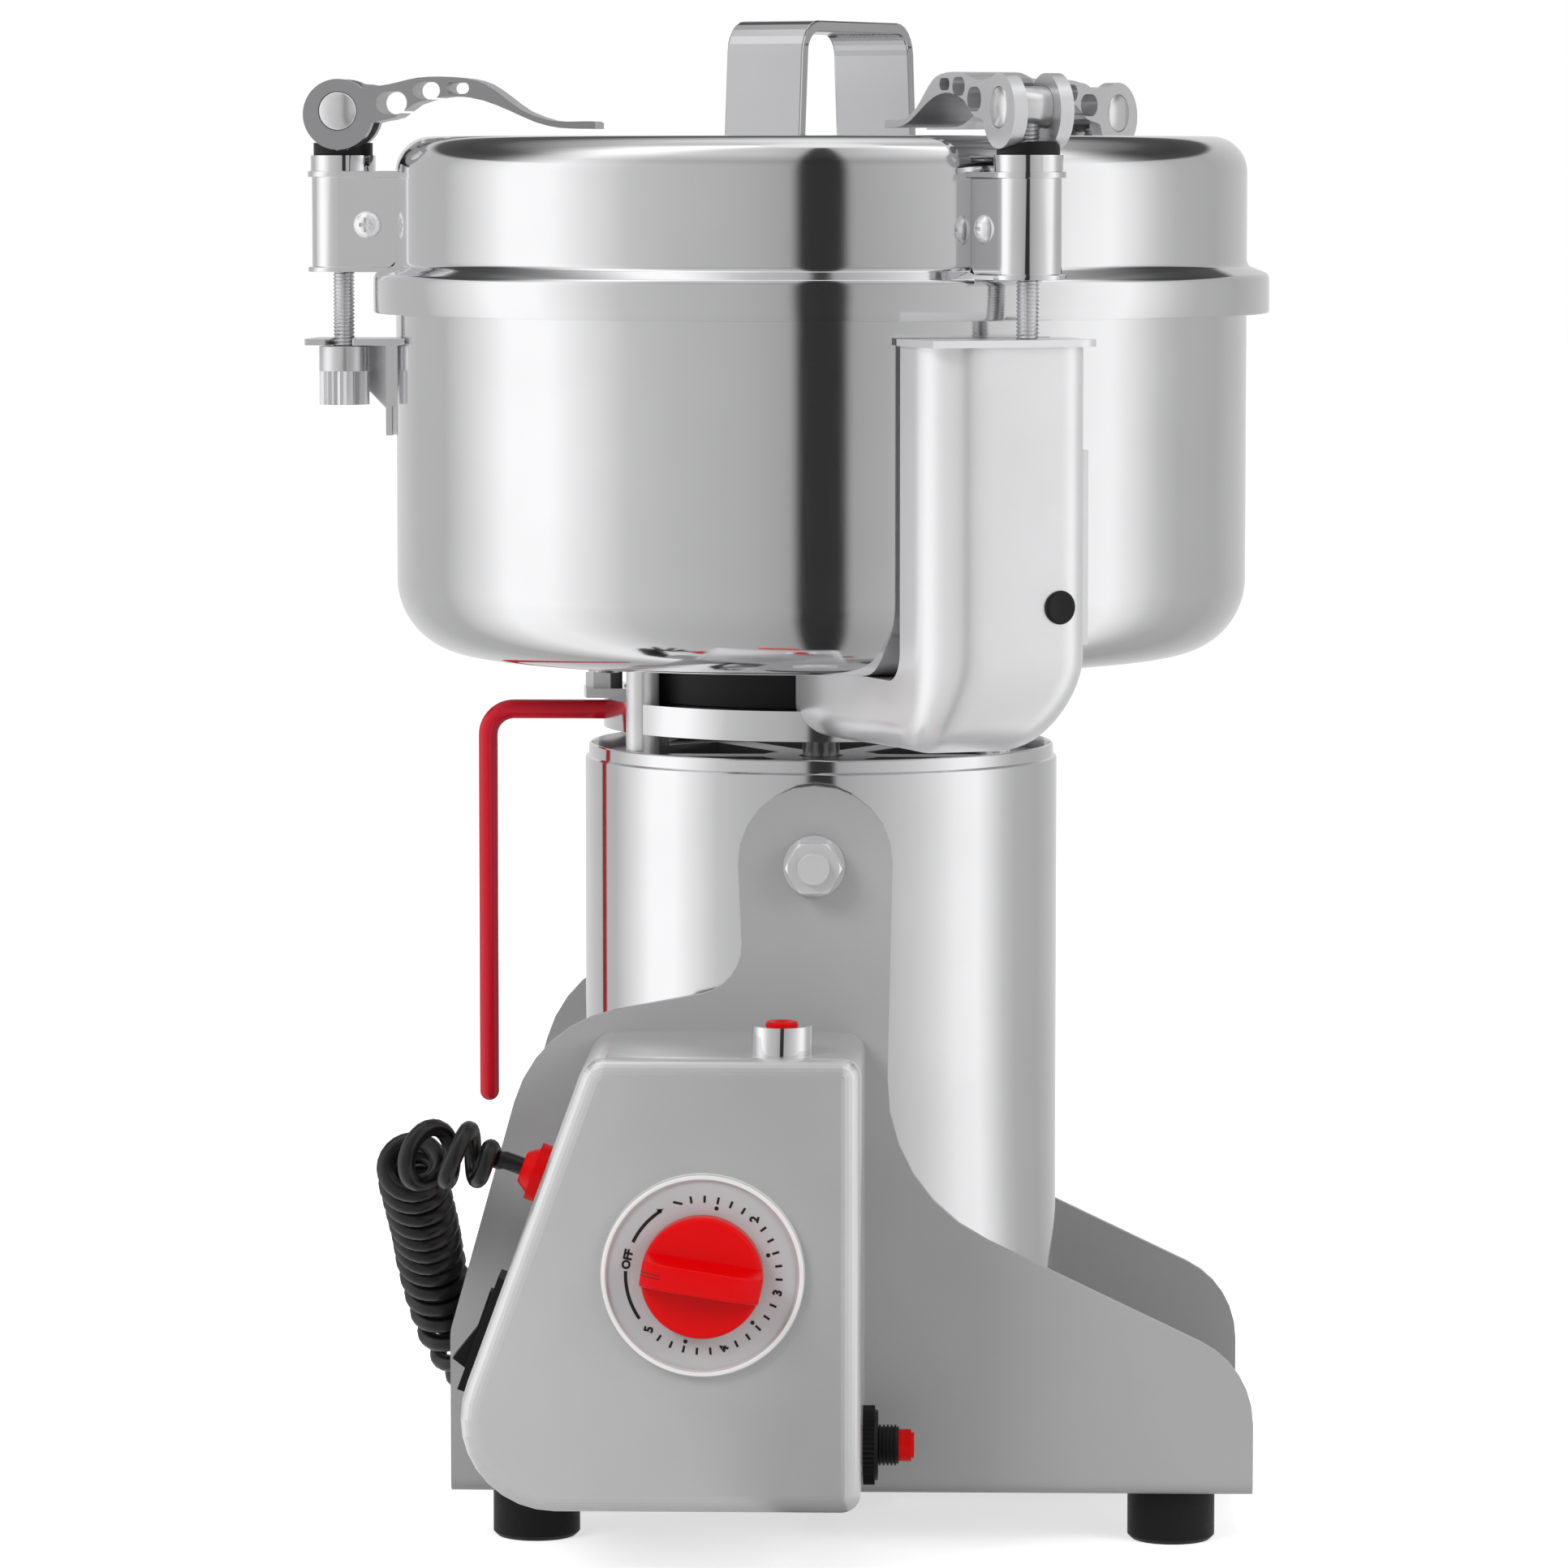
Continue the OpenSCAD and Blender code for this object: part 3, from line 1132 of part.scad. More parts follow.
// Strap handle: a band bent into a flat arch
module lid_handle() color([0.87, 0.87, 0.88]) placed() rotate([0, 0, strap_turn])
    translate([0, strap_w / 2, lid_top]) rotate([90, 0, 0]) linear_extrude(strap_w) difference() {
        polygon(rounded([[-strap_span / 2, 0, 0], [strap_span / 2, 0, 0],
            [strap_span / 2 - strap_lean, strap_h, strap_bend_r], [-strap_span / 2 + strap_lean, strap_h, strap_bend_r]]));
        polygon(rounded([[-strap_span / 2 + strap_t, -over, 0], [strap_span / 2 - strap_t, -over, 0],
            [strap_span / 2 - strap_lean - strap_t, strap_h - strap_t, strap_bend_r - strap_t],
            [-strap_span / 2 + strap_lean + strap_t, strap_h - strap_t, strap_bend_r - strap_t]]));
    }
// Solid of the lid's outside, to seat the clamp pieces on it
module lid_solid() rotate_extrude($fn = 180) intersection() {
    lid_profile(0);
    translate([0, skirt_z - over]) square([2 * bowl_r, lid_h * 2]);
}
// Plan of a housing: round about the rod, with flat sides towards the lid
module housing_plan(r) {
    translate([clamp_r, 0]) circle(r = r);
    translate([bowl_r - bracket_out, -r]) square([clamp_r - bowl_r + bracket_out, 2 * r]);
}
// Lugs welded to the lid, one inside each housing
module clamp_brackets() color([0.7, 0.7, 0.71]) placed() difference() {
    for (i = [0:CLAMP_COUNT - 1]) at_clamp(i) difference() {
        translate([lid_inner_r, -housing_r + housing_wall, flare_z + flare_h])
            cube([lug_out + lid_wall, 2 * (housing_r - housing_wall), cap_z - top_plate_t - flare_z - flare_h]);
        at_housing_screw() cylinder(r = screw_shank_r, h = 4 * housing_r, center = true);
    }
    lid_solid();
}
module at_housing_screw() translate([bowl_r + screw_in, 0, housing_z + screw_up]) rotate([90, 0, 0]) children();
// Wrapped housings with their lower and upper plates
module clamp_housings() color([0.84, 0.84, 0.85]) placed() difference() {
    for (i = [0:CLAMP_COUNT - 1]) at_clamp(i) difference() {
        union() {
            translate([0, 0, housing_z]) linear_extrude(housing_h) difference() {
                housing_plan(housing_r);
                housing_plan(housing_r - housing_wall);
            }
            translate([0, 0, housing_z - low_plate_t]) linear_extrude(low_plate_t) housing_plan(housing_r + plate_lip);
            translate([0, 0, cap_z - top_plate_t]) linear_extrude(top_plate_t) housing_plan(housing_r + plate_lip);
        }
        translate([clamp_r, 0, housing_z - low_plate_t - over])
            cylinder(r = rod_d / 2 + run, h = housing_h + top_plate_t + low_plate_t + 2 * over);
        at_housing_screw() cylinder(r = screw_shank_r, h = 4 * housing_r, center = true);
    }
    lid_solid();
}
// Cross-head screws through each housing and its lug
module housing_screws() color([0.8, 0.8, 0.81]) placed() for (i = [0:CLAMP_COUNT - 1]) at_clamp(i)
    at_housing_screw() {
        cylinder(r = screw_shank_r, h = 2 * housing_r, center = true);
        for (s = [0, 180]) rotate([s, 0, 0]) translate([0, 0, housing_r]) difference() {
            intersection() {
                cylinder(r = screw_r, h = screw_h);
                translate([0, 0, screw_h - screw_dome]) sphere(r = screw_dome);
            }
            for (q = [0, 90]) rotate([0, 0, q])
                translate([-screw_r / 2, -screw_slot / 2, screw_h / 2]) cube([screw_r, screw_slot, screw_h]);
        }
    }
module clamp_caps() color([0.9, 0.9, 0.91]) placed() for (i = [0:CLAMP_COUNT - 1]) at_clamp(i)
    translate([clamp_r, 0, cap_z]) ring(cap_r, rod_d / 2 + run, cap_h);
// Black saddles that the cam discs turn in
module clamp_saddles() color([0.05, 0.05, 0.05]) placed() for (i = [0:CLAMP_COUNT - 1]) at_clamp(i)
    translate([clamp_r, 0, 0]) difference() {
        translate([0, 0, saddle_z]) cylinder(r = saddle_r, h = saddle_arm);
        translate([0, 0, saddle_z + saddle_floor + trough_r]) rotate([90, 0, 0])
            cylinder(r = trough_r, h = 2 * lever_w, center = true);
        translate([0, 0, saddle_z - over]) cylinder(r = rod_d / 2 + run, h = saddle_arm + 2 * over);
    }

// Clamps

// Threaded rod with its cross pin
module clamp_rod(i) color([0.75, 0.75, 0.76]) placed() at_clamp(i) translate([clamp_r, 0, 0]) {
    low = flange_z(i) - gap - nut_h;
    translate([0, 0, low]) cylinder(r = rod_d / 2, h = pin_z - low);
    translate([0, 0, pin_z]) rotate([90, 0, 0]) cylinder(r = cam_pin_d / 2, h = lever_w + 2 * gap, center = true);
}
// Knurled nut with a smooth collar, under its flange
module clamp_nut(i) color([0.8, 0.8, 0.81]) placed() at_clamp(i)
    translate([clamp_r, 0, flange_z(i) - gap - nut_h]) difference() {
        union() {
            knurled(nut_d / 2, knurl_h, KNURLS, thread_deep);
            translate([0, 0, knurl_h]) cylinder(r = nut_d / 2, h = nut_h - knurl_h);
        }
        translate([0, 0, -over]) cylinder(r = rod_d / 2 + run, h = nut_h + 2 * over);
    }
// Shares of the lever's length, from the pin: the arm's upper and lower edge, inwards and up
TOP_SHARES = [[0.095, 0.104], [0.16, 0.096], [0.235, 0.11], [0.31, 0.127], [0.405, 0.131], [0.5, 0.124],
    [0.57, 0.104], [0.64, 0.058], [0.72, 0], [0.82, -0.036], [0.9, -0.041], [0.99, -0.04], [1, -0.052]];
LOW_SHARES = [[1, -0.069], [0.94, -0.068], [0.86, -0.065], [0.77, -0.044], [0.665, 0.002], [0.565, 0.04],
    [0.465, 0.056], [0.385, 0.05], [0.295, 0.026], [0.225, -0.024], [0.16, -0.038], [0.11, -0.052]];
// Shares of the through holes: place, length and height
HOLE_SHARES = [[0.21, 0.031, 0.12, 0.088], [0.345, 0.078, 0.107, 0.068], [0.468, 0.087, 0.087, 0.045]];
// Cam lever: two cheeks that turn off-centre on the pin, and one cast arm
module clamp_lever(i) color([0.72, 0.72, 0.73]) placed() at_clamp(i)
    translate([clamp_r, 0, pin_z]) rotate([90, 0, 180]) difference() {
        union() {
            for (s = [-1, 1]) translate([0, -cam_throw, s * (lever_w - cheek_t) / 2])
                cylinder(r = cam_r, h = cheek_t, center = true);
            translate([0, 0, -lever_w / 2]) linear_extrude(lever_w)
                polygon(lever_len * concat(curve(TOP_SHARES, 2), curve(LOW_SHARES, 2)));
        }
        cylinder(r = cam_pin_d / 2 + run, h = lever_w + 2 * over, center = true);
        translate([0, -cam_throw, 0]) cylinder(r = cam_r + gap, h = lever_w - 2 * cheek_t, center = true);
        for (q = HOLE_SHARES * lever_len) translate([q[0], q[1], 0]) linear_extrude(lever_w + over, center = true)
            round_rect(q[2], q[3], 0.49 * q[3]);
    }
module clamp_rod_left() clamp_rod(0);
module clamp_nut_left() clamp_nut(0);
module clamp_lever_left() clamp_lever(0);
module clamp_rod_front() clamp_rod(1);
module clamp_nut_front() clamp_nut(1);
module clamp_lever_front() clamp_lever(1);
module clamp_rod_rear() clamp_rod(2);
module clamp_nut_rear() clamp_nut(2);
module clamp_lever_rear() clamp_lever(2);

// Cord

// Gland in the slanted wall: a nut outside, a neck through the wall and a nut inside
module cable_gland() color([0.85, 0.08, 0.08]) placed() on_slant(gland_z) difference() {
    union() {
        cylinder(r = gland_r, h = gland_l - gland_neck);
        translate([0, 0, gland_l - gland_neck])
            cylinder(r1 = gland_r - gland_neck / 2, r2 = gland_hole_r - gland_neck / 2, h = gland_neck);
        translate([0, 0, -box_wall]) cylinder(r = gland_hole_r, h = box_wall);
        translate([0, 0, -box_wall - lock_nut_t]) hexagon(2 * gland_r - gland_neck, lock_nut_t);
    }
    translate([0, 0, -box_wall - lock_nut_t - over]) cylinder(r = cord_d / 3, h = box_wall + lock_nut_t + over);
}
// Middle of the cord: straight out of the gland, round the curls, then plain to the barrel's gland
wall_out = [-cos(box_slant), 0, sin(box_slant)];
gland_face = [gland_x, slant_y, gland_z] + gland_l * wall_out;
// Lowest place of the barrel's gland in its swing, just above the cord's end
gland_low = barrel_bottom + barrel_wall - barrel_gland_l;
cord_end_z = pivot_z - norm([cord_d, pivot_z - gland_low]) - gap;
CURL_RINGS = 8;
// Curls over which the first ones grow to full size
CURL_GROWTH = 1.5;
CORD_SIDES = 6;
CURL_STRETCH = 12;
END_STRETCH = 3;
axis_pts = curve(concat([gland_face, gland_face + cord_d * wall_out], CURL_ROUTE), CURL_STRETCH);
axis_n = len(axis_pts);
axis_dirs = directions(axis_pts);
// How far the curls stand apart where their middle bends, and the least share left of a step there
bend_share = 1.1;
least_share = 0.2;
// Winding length along the middle of the curls up to each of its points: a step on a bend counts
// for less, which spreads the curls where their inner sides would meet
axis_run = [for (i = 0, l = 0; i < axis_n; i = i + 1, l = i < axis_n ? l + winding(i) : l) l];
function winding(i) = let (s = norm(axis_pts[i] - axis_pts[i - 1]),
    turn = acos(min(1, axis_dirs[i - 1] * axis_dirs[i])) * PI / 180)
    max(least_share * s, s - bend_share * curl_r * turn);
curls_from = axis_run[CURL_STRETCH];
curls_long = axis_run[axis_n - 1] - curls_from;
axis_normals = normals(axis_dirs, [0, 1, 0]);
// Place, direction and normal at length l along the middle of the curls
function axis_at(l) = let (k = max([for (i = [0:axis_n - 2]) if (axis_run[i] <= l) i]),
    t = (l - axis_run[k]) / (axis_run[k + 1] - axis_run[k]))
    [axis_pts[k] + t * (axis_pts[k + 1] - axis_pts[k]),
     unit(axis_dirs[k] + t * (axis_dirs[k + 1] - axis_dirs[k])),
     unit(axis_normals[k] + t * (axis_normals[k + 1] - axis_normals[k]))];
// Smooth growth from 0 to 1
function ease(t) = let (q = max(0, min(1, t))) q * q * (3 - 2 * q);
CURL_STEPS = curls * CURL_RINGS;
curl_pts = [for (i = [0:CURL_STEPS])
    let (q = axis_at(curls_from + curls_long * i / CURL_STEPS), a = -i * 360 / CURL_RINGS + curl_first,
         r = curl_r * ease(i / CURL_RINGS / CURL_GROWTH) * ease((CURL_STEPS - i) / CURL_RINGS))
    q[0] + r * (cos(a) * q[2] + sin(a) * cross(q[1], q[2]))];
end_pts = curve(concat([CURL_ROUTE[len(CURL_ROUTE) - 1]], END_ROUTE,
    [[0, 0, cord_end_z - cord_d], [0, 0, cord_end_z]]), END_STRETCH);
cord_path = concat([gland_face, gland_face + cord_d / 2 * wall_out], curl_pts,
    [for (i = [1:len(end_pts) - 1]) end_pts[i]]);
cord_dirs = let (d = directions(cord_path), m = len(d) - 1)
    [for (i = [0:m]) i == 0 ? wall_out : i == m ? [0, 0, 1] : d[i]];
cord_normals = normals(cord_dirs, [0, 1, 0]);
module curly_cord() color([0.05, 0.05, 0.05]) placed() let (n = len(cord_path), s = CORD_SIDES) polyhedron(
    points = [for (i = [0:n - 1], k = [0:s - 1]) let (a = k * 360 / s)
        cord_path[i] + cord_d / 2 * (cos(a) * cord_normals[i] + sin(a) * cross(cord_dirs[i], cord_normals[i]))],
    faces = concat([[for (k = [0:s - 1]) k]], [[for (k = [s - 1:-1:0]) (n - 1) * s + k]],
        [for (i = [0:n - 2], k = [0:s - 1]) each let (k2 = (k + 1) % s)
            [[i * s + k, (i + 1) * s + k, i * s + k2], [i * s + k2, (i + 1) * s + k, (i + 1) * s + k2]]]));
// Least gap of the cord to itself, between rings nearly a curl or more apart along it
cord_rings = len(cord_path);
echo(least_cord_gap = min([for (i = [0:cord_rings - 1], j = [i + 1:1:cord_rings - 1])
    if (j - i > CURL_RINGS - 2) norm(cord_path[i] - cord_path[j])]) - cord_d);
echo(cord_length = cord_run(cord_path));
function cord_run(p) = let (steps = [for (i = [1:len(p) - 1]) norm(p[i] - p[i - 1])])
    steps * [for (q = steps) 1];

base_stand();
rubber_feet();
pivot_bushes();
control_box();
dial_plate();
timer_body();
timer_knob();
start_switch();
start_button();
breaker_body();
breaker_nut();
breaker_button();
rocker_frame();
rocker_paddle();
cable_gland();
curly_cord();
motor_barrel();
bottom_cover();
end_brackets();
stator_core();
field_coils();
brush_gear();
shaft_bearings();
pivot_bolts();
barrel_gland();
swing_handle();
support_ring();
ring_bolts();
spacer_posts();
insulating_disc();
grinding_bowl();
shaft_seal();
bowl_brackets();
guard_channel();
guard_cover();
guard_plug();
safety_switch();
motor_shaft();
armature();
cooling_fan();
grinding_blades();
blade_spacers();
blade_nut();
lid_shell();
lid_gasket();
lid_handle();
clamp_brackets();
clamp_housings();
clamp_caps();
clamp_saddles();
housing_screws();
clamp_rod_left();
clamp_nut_left();
clamp_lever_left();
clamp_rod_front();
clamp_nut_front();
clamp_lever_front();
clamp_rod_rear();
clamp_nut_rear();
clamp_lever_rear();
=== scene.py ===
"""Dressed scene of the electric grain mill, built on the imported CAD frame."""

import math

import bmesh
import bpy
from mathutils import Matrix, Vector


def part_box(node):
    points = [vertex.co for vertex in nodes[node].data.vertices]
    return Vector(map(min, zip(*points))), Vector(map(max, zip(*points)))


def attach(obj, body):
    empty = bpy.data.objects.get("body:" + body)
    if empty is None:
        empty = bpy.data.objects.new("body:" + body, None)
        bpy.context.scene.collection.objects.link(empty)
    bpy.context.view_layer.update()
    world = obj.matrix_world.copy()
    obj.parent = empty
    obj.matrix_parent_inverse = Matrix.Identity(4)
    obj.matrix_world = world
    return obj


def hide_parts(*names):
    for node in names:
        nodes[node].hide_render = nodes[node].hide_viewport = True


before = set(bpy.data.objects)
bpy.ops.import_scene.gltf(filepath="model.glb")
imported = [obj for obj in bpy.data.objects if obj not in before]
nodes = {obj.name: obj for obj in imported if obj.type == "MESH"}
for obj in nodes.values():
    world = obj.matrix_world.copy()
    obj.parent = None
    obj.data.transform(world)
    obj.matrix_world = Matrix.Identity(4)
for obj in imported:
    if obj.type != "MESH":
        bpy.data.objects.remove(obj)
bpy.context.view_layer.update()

MM = 0.001
low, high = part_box("grinding_bowl")
AXIS = Vector(((low.x + high.x) / 2, (low.y + high.y) / 2, 0.0))  # the motor's axis


def at(x, y, z):
    """A point given in mm from the motor's axis and the table, in the row frame."""
    return AXIS + Vector((x, y, z)) * MM


# Camera

CAMERA_PLACE, CAMERA_TARGET, LENS, SENSOR_WIDTH = at(47, -1892, 362.8), at(-10, 0, 195.2), 161.45, 36.0

cam_data = bpy.data.cameras.new("camera")
cam_data.lens = LENS
cam_data.sensor_width = SENSOR_WIDTH
cam_data.clip_end = 20.0
camera = bpy.data.objects.new("camera", cam_data)
bpy.context.scene.collection.objects.link(camera)
camera.location = CAMERA_PLACE
camera.rotation_euler = (CAMERA_TARGET - CAMERA_PLACE).to_track_quat("-Z", "Y").to_euler()
bpy.context.scene.camera = camera


# Curly cord: the same route as the CAD cord's, in mm from the motor's axis

BOX_TOP, BOX_TOP_LEFT, BOX_HEIGHT, BOX_LOW_LEFT = 136.5, 56.5, 116.8, 99.2
SLANT = math.atan2(BOX_LOW_LEFT - BOX_TOP_LEFT, BOX_HEIGHT)
WALL_OUT = Vector((-math.cos(SLANT), 0.0, math.sin(SLANT)))
GLAND_Y, GLAND_Z, GLAND_LENGTH, CORD_END = -100.0, 103.0, 6.0, 39.62
CORD_D, CURL_R, CURLS, CURL_FIRST, CURL_GROWTH = 4.6, 6.9, 24, 140, 1.5
BEND_SHARE, LEAST_SHARE = 1.1, 0.2
AXIS_STEPS, CURL_STEPS, END_STEPS = 12, 24, 6
CURL_ROUTE = [(-92, -101, 108), (-102, -95.5, 107), (-104, -86, 101), (-103, -77, 92), (-102, -67.5, 83),
              (-101.5, -58, 74), (-99.5, -51, 63), (-96, -46, 52), (-89, -42, 42), (-79, -38, 34),
              (-67, -34, 29.5), (-55, -29, 28.5)]
END_ROUTE = [(-44, -24, 25), (-35, -19, 21.5), (-26, -14, 20), (-16, -8.5, 20), (-7, -3.5, 22.5), (-1.5, -0.7, 28)]


def curve_points(pts, n):
    """Catmull-Rom points through pts, n to each stretch."""
    out = []
    m = len(pts) - 1
    for i in range(m):
        a, b, c, d = pts[max(i - 1, 0)], pts[i], pts[i + 1], pts[min(i + 2, m)]
        for k in range(n):
            t = k / n
            out.append((2 * b + (c - a) * t + (2 * a - 5 * b + 4 * c - d) * t * t
                        + (3 * b - a - 3 * c + d) * t ** 3) / 2)
    return out + [pts[m]]


def carried_normals(pts, first):
    """Directions and twist-free normals along a path."""
    dirs = [(pts[min(i + 1, len(pts) - 1)] - pts[max(i - 1, 0)]).normalized() for i in range(len(pts))]
    normal = (first - dirs[0] * first.dot(dirs[0])).normalized()
    normals = []
    for d in dirs:
        normal = (normal - d * normal.dot(d)).normalized()
        normals.append(normal.copy())
    return dirs, normals


def smooth(t):
    """A soft step from 0 to 1."""
    q = max(0.0, min(1.0, t))
    return q * q * (3 - 2 * q)


def cord_route():
    """The cord's middle, from the box's gland through the curls to the barrel's gland."""
    wall_x = -BOX_TOP_LEFT - (BOX_TOP - GLAND_Z) * math.tan(SLANT)
    mouth = Vector((wall_x, GLAND_Y, GLAND_Z)) + WALL_OUT * GLAND_LENGTH
    axis = curve_points([mouth, mouth + WALL_OUT * CORD_D] + [Vector(p) for p in CURL_ROUTE], AXIS_STEPS)
    dirs, normals = carried_normals(axis, Vector((0, 1, 0)))
    run = [0.0]
    for a, b, u, v in zip(axis, axis[1:], dirs, dirs[1:]):
        step, turn = (b - a).length, math.acos(min(1.0, u.dot(v)))
        run.append(run[-1] + max(LEAST_SHARE * step, step - BEND_SHARE * CURL_R * turn))
    start, k, route = run[AXIS_STEPS], 0, [mouth, mouth + WALL_OUT * CORD_D / 2]
    total = CURLS * CURL_STEPS
    for i in range(total + 1):
        length = min(start + (run[-1] - start) * i / total, run[-1] - 1e-6)
        while run[k + 1] <= length:
            k += 1
        t = (length - run[k]) / (run[k + 1] - run[k])
        d = dirs[k].lerp(dirs[k + 1], t).normalized()
        n = normals[k].lerp(normals[k + 1], t).normalized()
        angle = math.radians(CURL_FIRST - i * 360 / CURL_STEPS)
        r = CURL_R * smooth(i / CURL_STEPS / CURL_GROWTH) * smooth((total - i) / CURL_STEPS)
        route.append(axis[k].lerp(axis[k + 1], t) + (n * math.cos(angle) + d.cross(n) * math.sin(angle)) * r)
    end = [Vector(p) for p in CURL_ROUTE[-1:] + END_ROUTE + [(0, 0, CORD_END - CORD_D), (0, 0, CORD_END)]]
    return route + curve_points(end, END_STEPS)[1:]


cord_points = [at(*p) for p in cord_route()]
curve = bpy.data.curves.new("curly_cord_tube", "CURVE")
curve.dimensions = "3D"
curve.bevel_depth = CORD_D / 2
curve.bevel_resolution = 5
spline = curve.splines.new("POLY")
spline.points.add(len(cord_points) - 1)
for point, p in zip(spline.points, cord_points):
    point.co = (*p, 1.0)
    point.radius = MM  # the bevel's depth is in mm
spline.use_smooth = True
cord = bpy.data.objects.new("curly_cord_tube", curve)
bpy.context.scene.collection.objects.link(cord)
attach(cord, "stand")
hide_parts("curly_cord")


# Materials: each is procedural, in the row frame's coordinates

EVEN = (1, 1, 1)
NOISE_DETAIL, NOISE_LOW, NOISE_HIGH = 3.0, 0.3, 0.7
METAL_CLOUD, METAL_DARK, METAL_PALE, GRAINY_FROM = 25, 0.97, 1.02, 0.05
COATING_CLOUD, COATING_DARK, COATING_PALE, COATING_SPREAD = 18, 0.96, 1.04, 0.08


def new_material(name, colour, metallic, roughness):
    """A Principled material whose colour and roughness sit on its own sockets until vary() takes them over."""
    mat = bpy.data.materials.new(name)
    mat.use_nodes = True
    shader = mat.node_tree.nodes["Principled BSDF"]
    shader.inputs["Base Color"].default_value = (*colour, 1.0)
    shader.inputs["Metallic"].default_value = metallic
    shader.inputs["Roughness"].default_value = roughness
    return mat


def noise(mat, stretch, scale):
    """The factor of a noise texture whose grain is stretched along some axes."""
    tree = mat.node_tree
    coord = tree.nodes.new("ShaderNodeTexCoord")
    mapping = tree.nodes.new("ShaderNodeMapping")
    mapping.inputs["Scale"].default_value = stretch
    tex = tree.nodes.new("ShaderNodeTexNoise")
    tex.inputs["Scale"].default_value = scale
    tex.inputs["Detail"].default_value = NOISE_DETAIL
    tree.links.new(coord.outputs["Object"], mapping.inputs["Vector"])
    tree.links.new(mapping.outputs["Vector"], tex.inputs["Vector"])
    return tex.outputs["Fac"]


def vary(mat, fac, socket, low_value, high_value):
    """Drives a shader socket between two values by a factor."""
    tree = mat.node_tree
    shader = tree.nodes["Principled BSDF"]
    if socket == "Base Color":
        ramp = tree.nodes.new("ShaderNodeValToRGB")
        ramp.color_ramp.elements[0].position, ramp.color_ramp.elements[1].position = NOISE_LOW, NOISE_HIGH
        ramp.color_ramp.elements[0].color = (*low_value, 1.0)
        ramp.color_ramp.elements[1].color = (*high_value, 1.0)
        tree.links.new(fac, ramp.inputs["Fac"])
        tree.links.new(ramp.outputs["Color"], shader.inputs["Base Color"])
        return
    spread = tree.nodes.new("ShaderNodeMapRange")
    spread.inputs["From Min"].default_value, spread.inputs["From Max"].default_value = NOISE_LOW, NOISE_HIGH
    spread.inputs["To Min"].default_value, spread.inputs["To Max"].default_value = low_value, high_value
    tree.links.new(fac, spread.inputs["Value"])
    tree.links.new(spread.outputs["Result"], shader.inputs[socket])


def bump(mat, fac, depth_mm):
    """Raises a material's surface by a factor, up to a depth."""
    tree = mat.node_tree
    node = tree.nodes.new("ShaderNodeBump")
    node.inputs["Strength"].default_value = 1.0
    node.inputs["Distance"].default_value = depth_mm * MM
    tree.links.new(fac, node.inputs["Height"])
    tree.links.new(node.outputs["Normal"], tree.nodes["Principled BSDF"].inputs["Normal"])


def tinted(colour, factor):
    """A colour made paler or darker by a factor."""
    return tuple(min(1.0, c * factor) for c in colour)


def metal(name, colour, roughness, stretch=EVEN, scale=900, depth=0.001, spread=0.12, metallic=1.0):
    """Metal whose grain varies its roughness and colour a little."""
    mat = new_material(name, colour, metallic, roughness)
    grain = noise(mat, stretch, scale)
    cloud = noise(mat, EVEN, METAL_CLOUD)
    fac = grain if spread > GRAINY_FROM else cloud
    vary(mat, fac, "Roughness", roughness * (1 - spread), roughness * (1 + spread))
    vary(mat, cloud, "Base Color", tinted(colour, METAL_DARK), tinted(colour, METAL_PALE))
    if depth:
        bump(mat, grain, depth)
    return mat


def coating(name, colour, roughness, scale=1400, depth=0.01, coat=0.0, metallic=0.0, specular=0.5):
    """Paint, plastic or rubber with a fine moulded grain and slight colour variation."""
    mat = new_material(name, colour, metallic, roughness)
    shader = mat.node_tree.nodes["Principled BSDF"]
    shader.inputs["Specular IOR Level"].default_value = specular
    shader.inputs["Coat Weight"].default_value = coat
    grain = noise(mat, EVEN, scale)
    cloud = noise(mat, EVEN, COATING_CLOUD)
    vary(mat, cloud, "Base Color", tinted(colour, COATING_DARK), tinted(colour, COATING_PALE))
    vary(mat, grain if depth else cloud, "Roughness",
         roughness * (1 - COATING_SPREAD), roughness * (1 + COATING_SPREAD))
    if depth:
        bump(mat, grain, depth)
    return mat


# A roughness that crosses 0.274 leaves faint outlines in a denoised render, so each range stays on one side
POLISHED = metal("polished_stainless", (0.80, 0.80, 0.81), 0.085, (1, 1, 0.05), 1200, 0.0002)
MIRROR = metal("mirror_stainless", (0.82, 0.82, 0.83), 0.06, EVEN, 600, 0.0)
GUARD = metal("satin_guard", (0.84, 0.84, 0.85), 0.28, (1, 1, 0.05), 1100, 0.0, 0.02, 0.6)
BRUSHED = metal("brushed_stainless", (0.72, 0.72, 0.73), 0.24, (0.05, 1, 1), 1100, 0.0, 0.04, 0.9)
POST = metal("bright_posts", (0.90, 0.90, 0.91), 0.22, (1, 1, 0.1), 900, 0.0003, 0.10, 0.4)
STRAP = metal("satin_strap", (0.60, 0.60, 0.61), 0.15, EVEN, 900, 0.0, 0.04)
# Painted light and shade: the paler alloy on the front and rear levers and the darker one on the left lever are lit
# and shaded copies of one cast alloy
CAST_PAINTED_LIT = metal("cast_alloy_painted_lit", (0.72, 0.72, 0.73), 0.34, EVEN, 1300, 0.003, 0.15, 0.8)
CAST = metal("cast_alloy", (0.44, 0.44, 0.45), 0.32, EVEN, 1300, 0.003, 0.14, 0.9)
ZINC = metal("plated_steel", (0.76, 0.76, 0.77), 0.24, EVEN, 700, 0.0, 0.04, 0.8)
BOLT = metal("bright_bolts", (0.86, 0.86, 0.87), 0.2, EVEN, 700, 0.0, 0.04, 0.5)
PAINT = coating("grey_paint", (0.365, 0.365, 0.37), 0.34, 700, 0.003)
BOX = coating("grey_box", (0.70, 0.70, 0.705), 0.23, 900, 0.0, coat=0.3, metallic=0.58)
RUBBER = coating("black_rubber", (0.007, 0.007, 0.007), 0.55, 900, 0.012, specular=0.25)
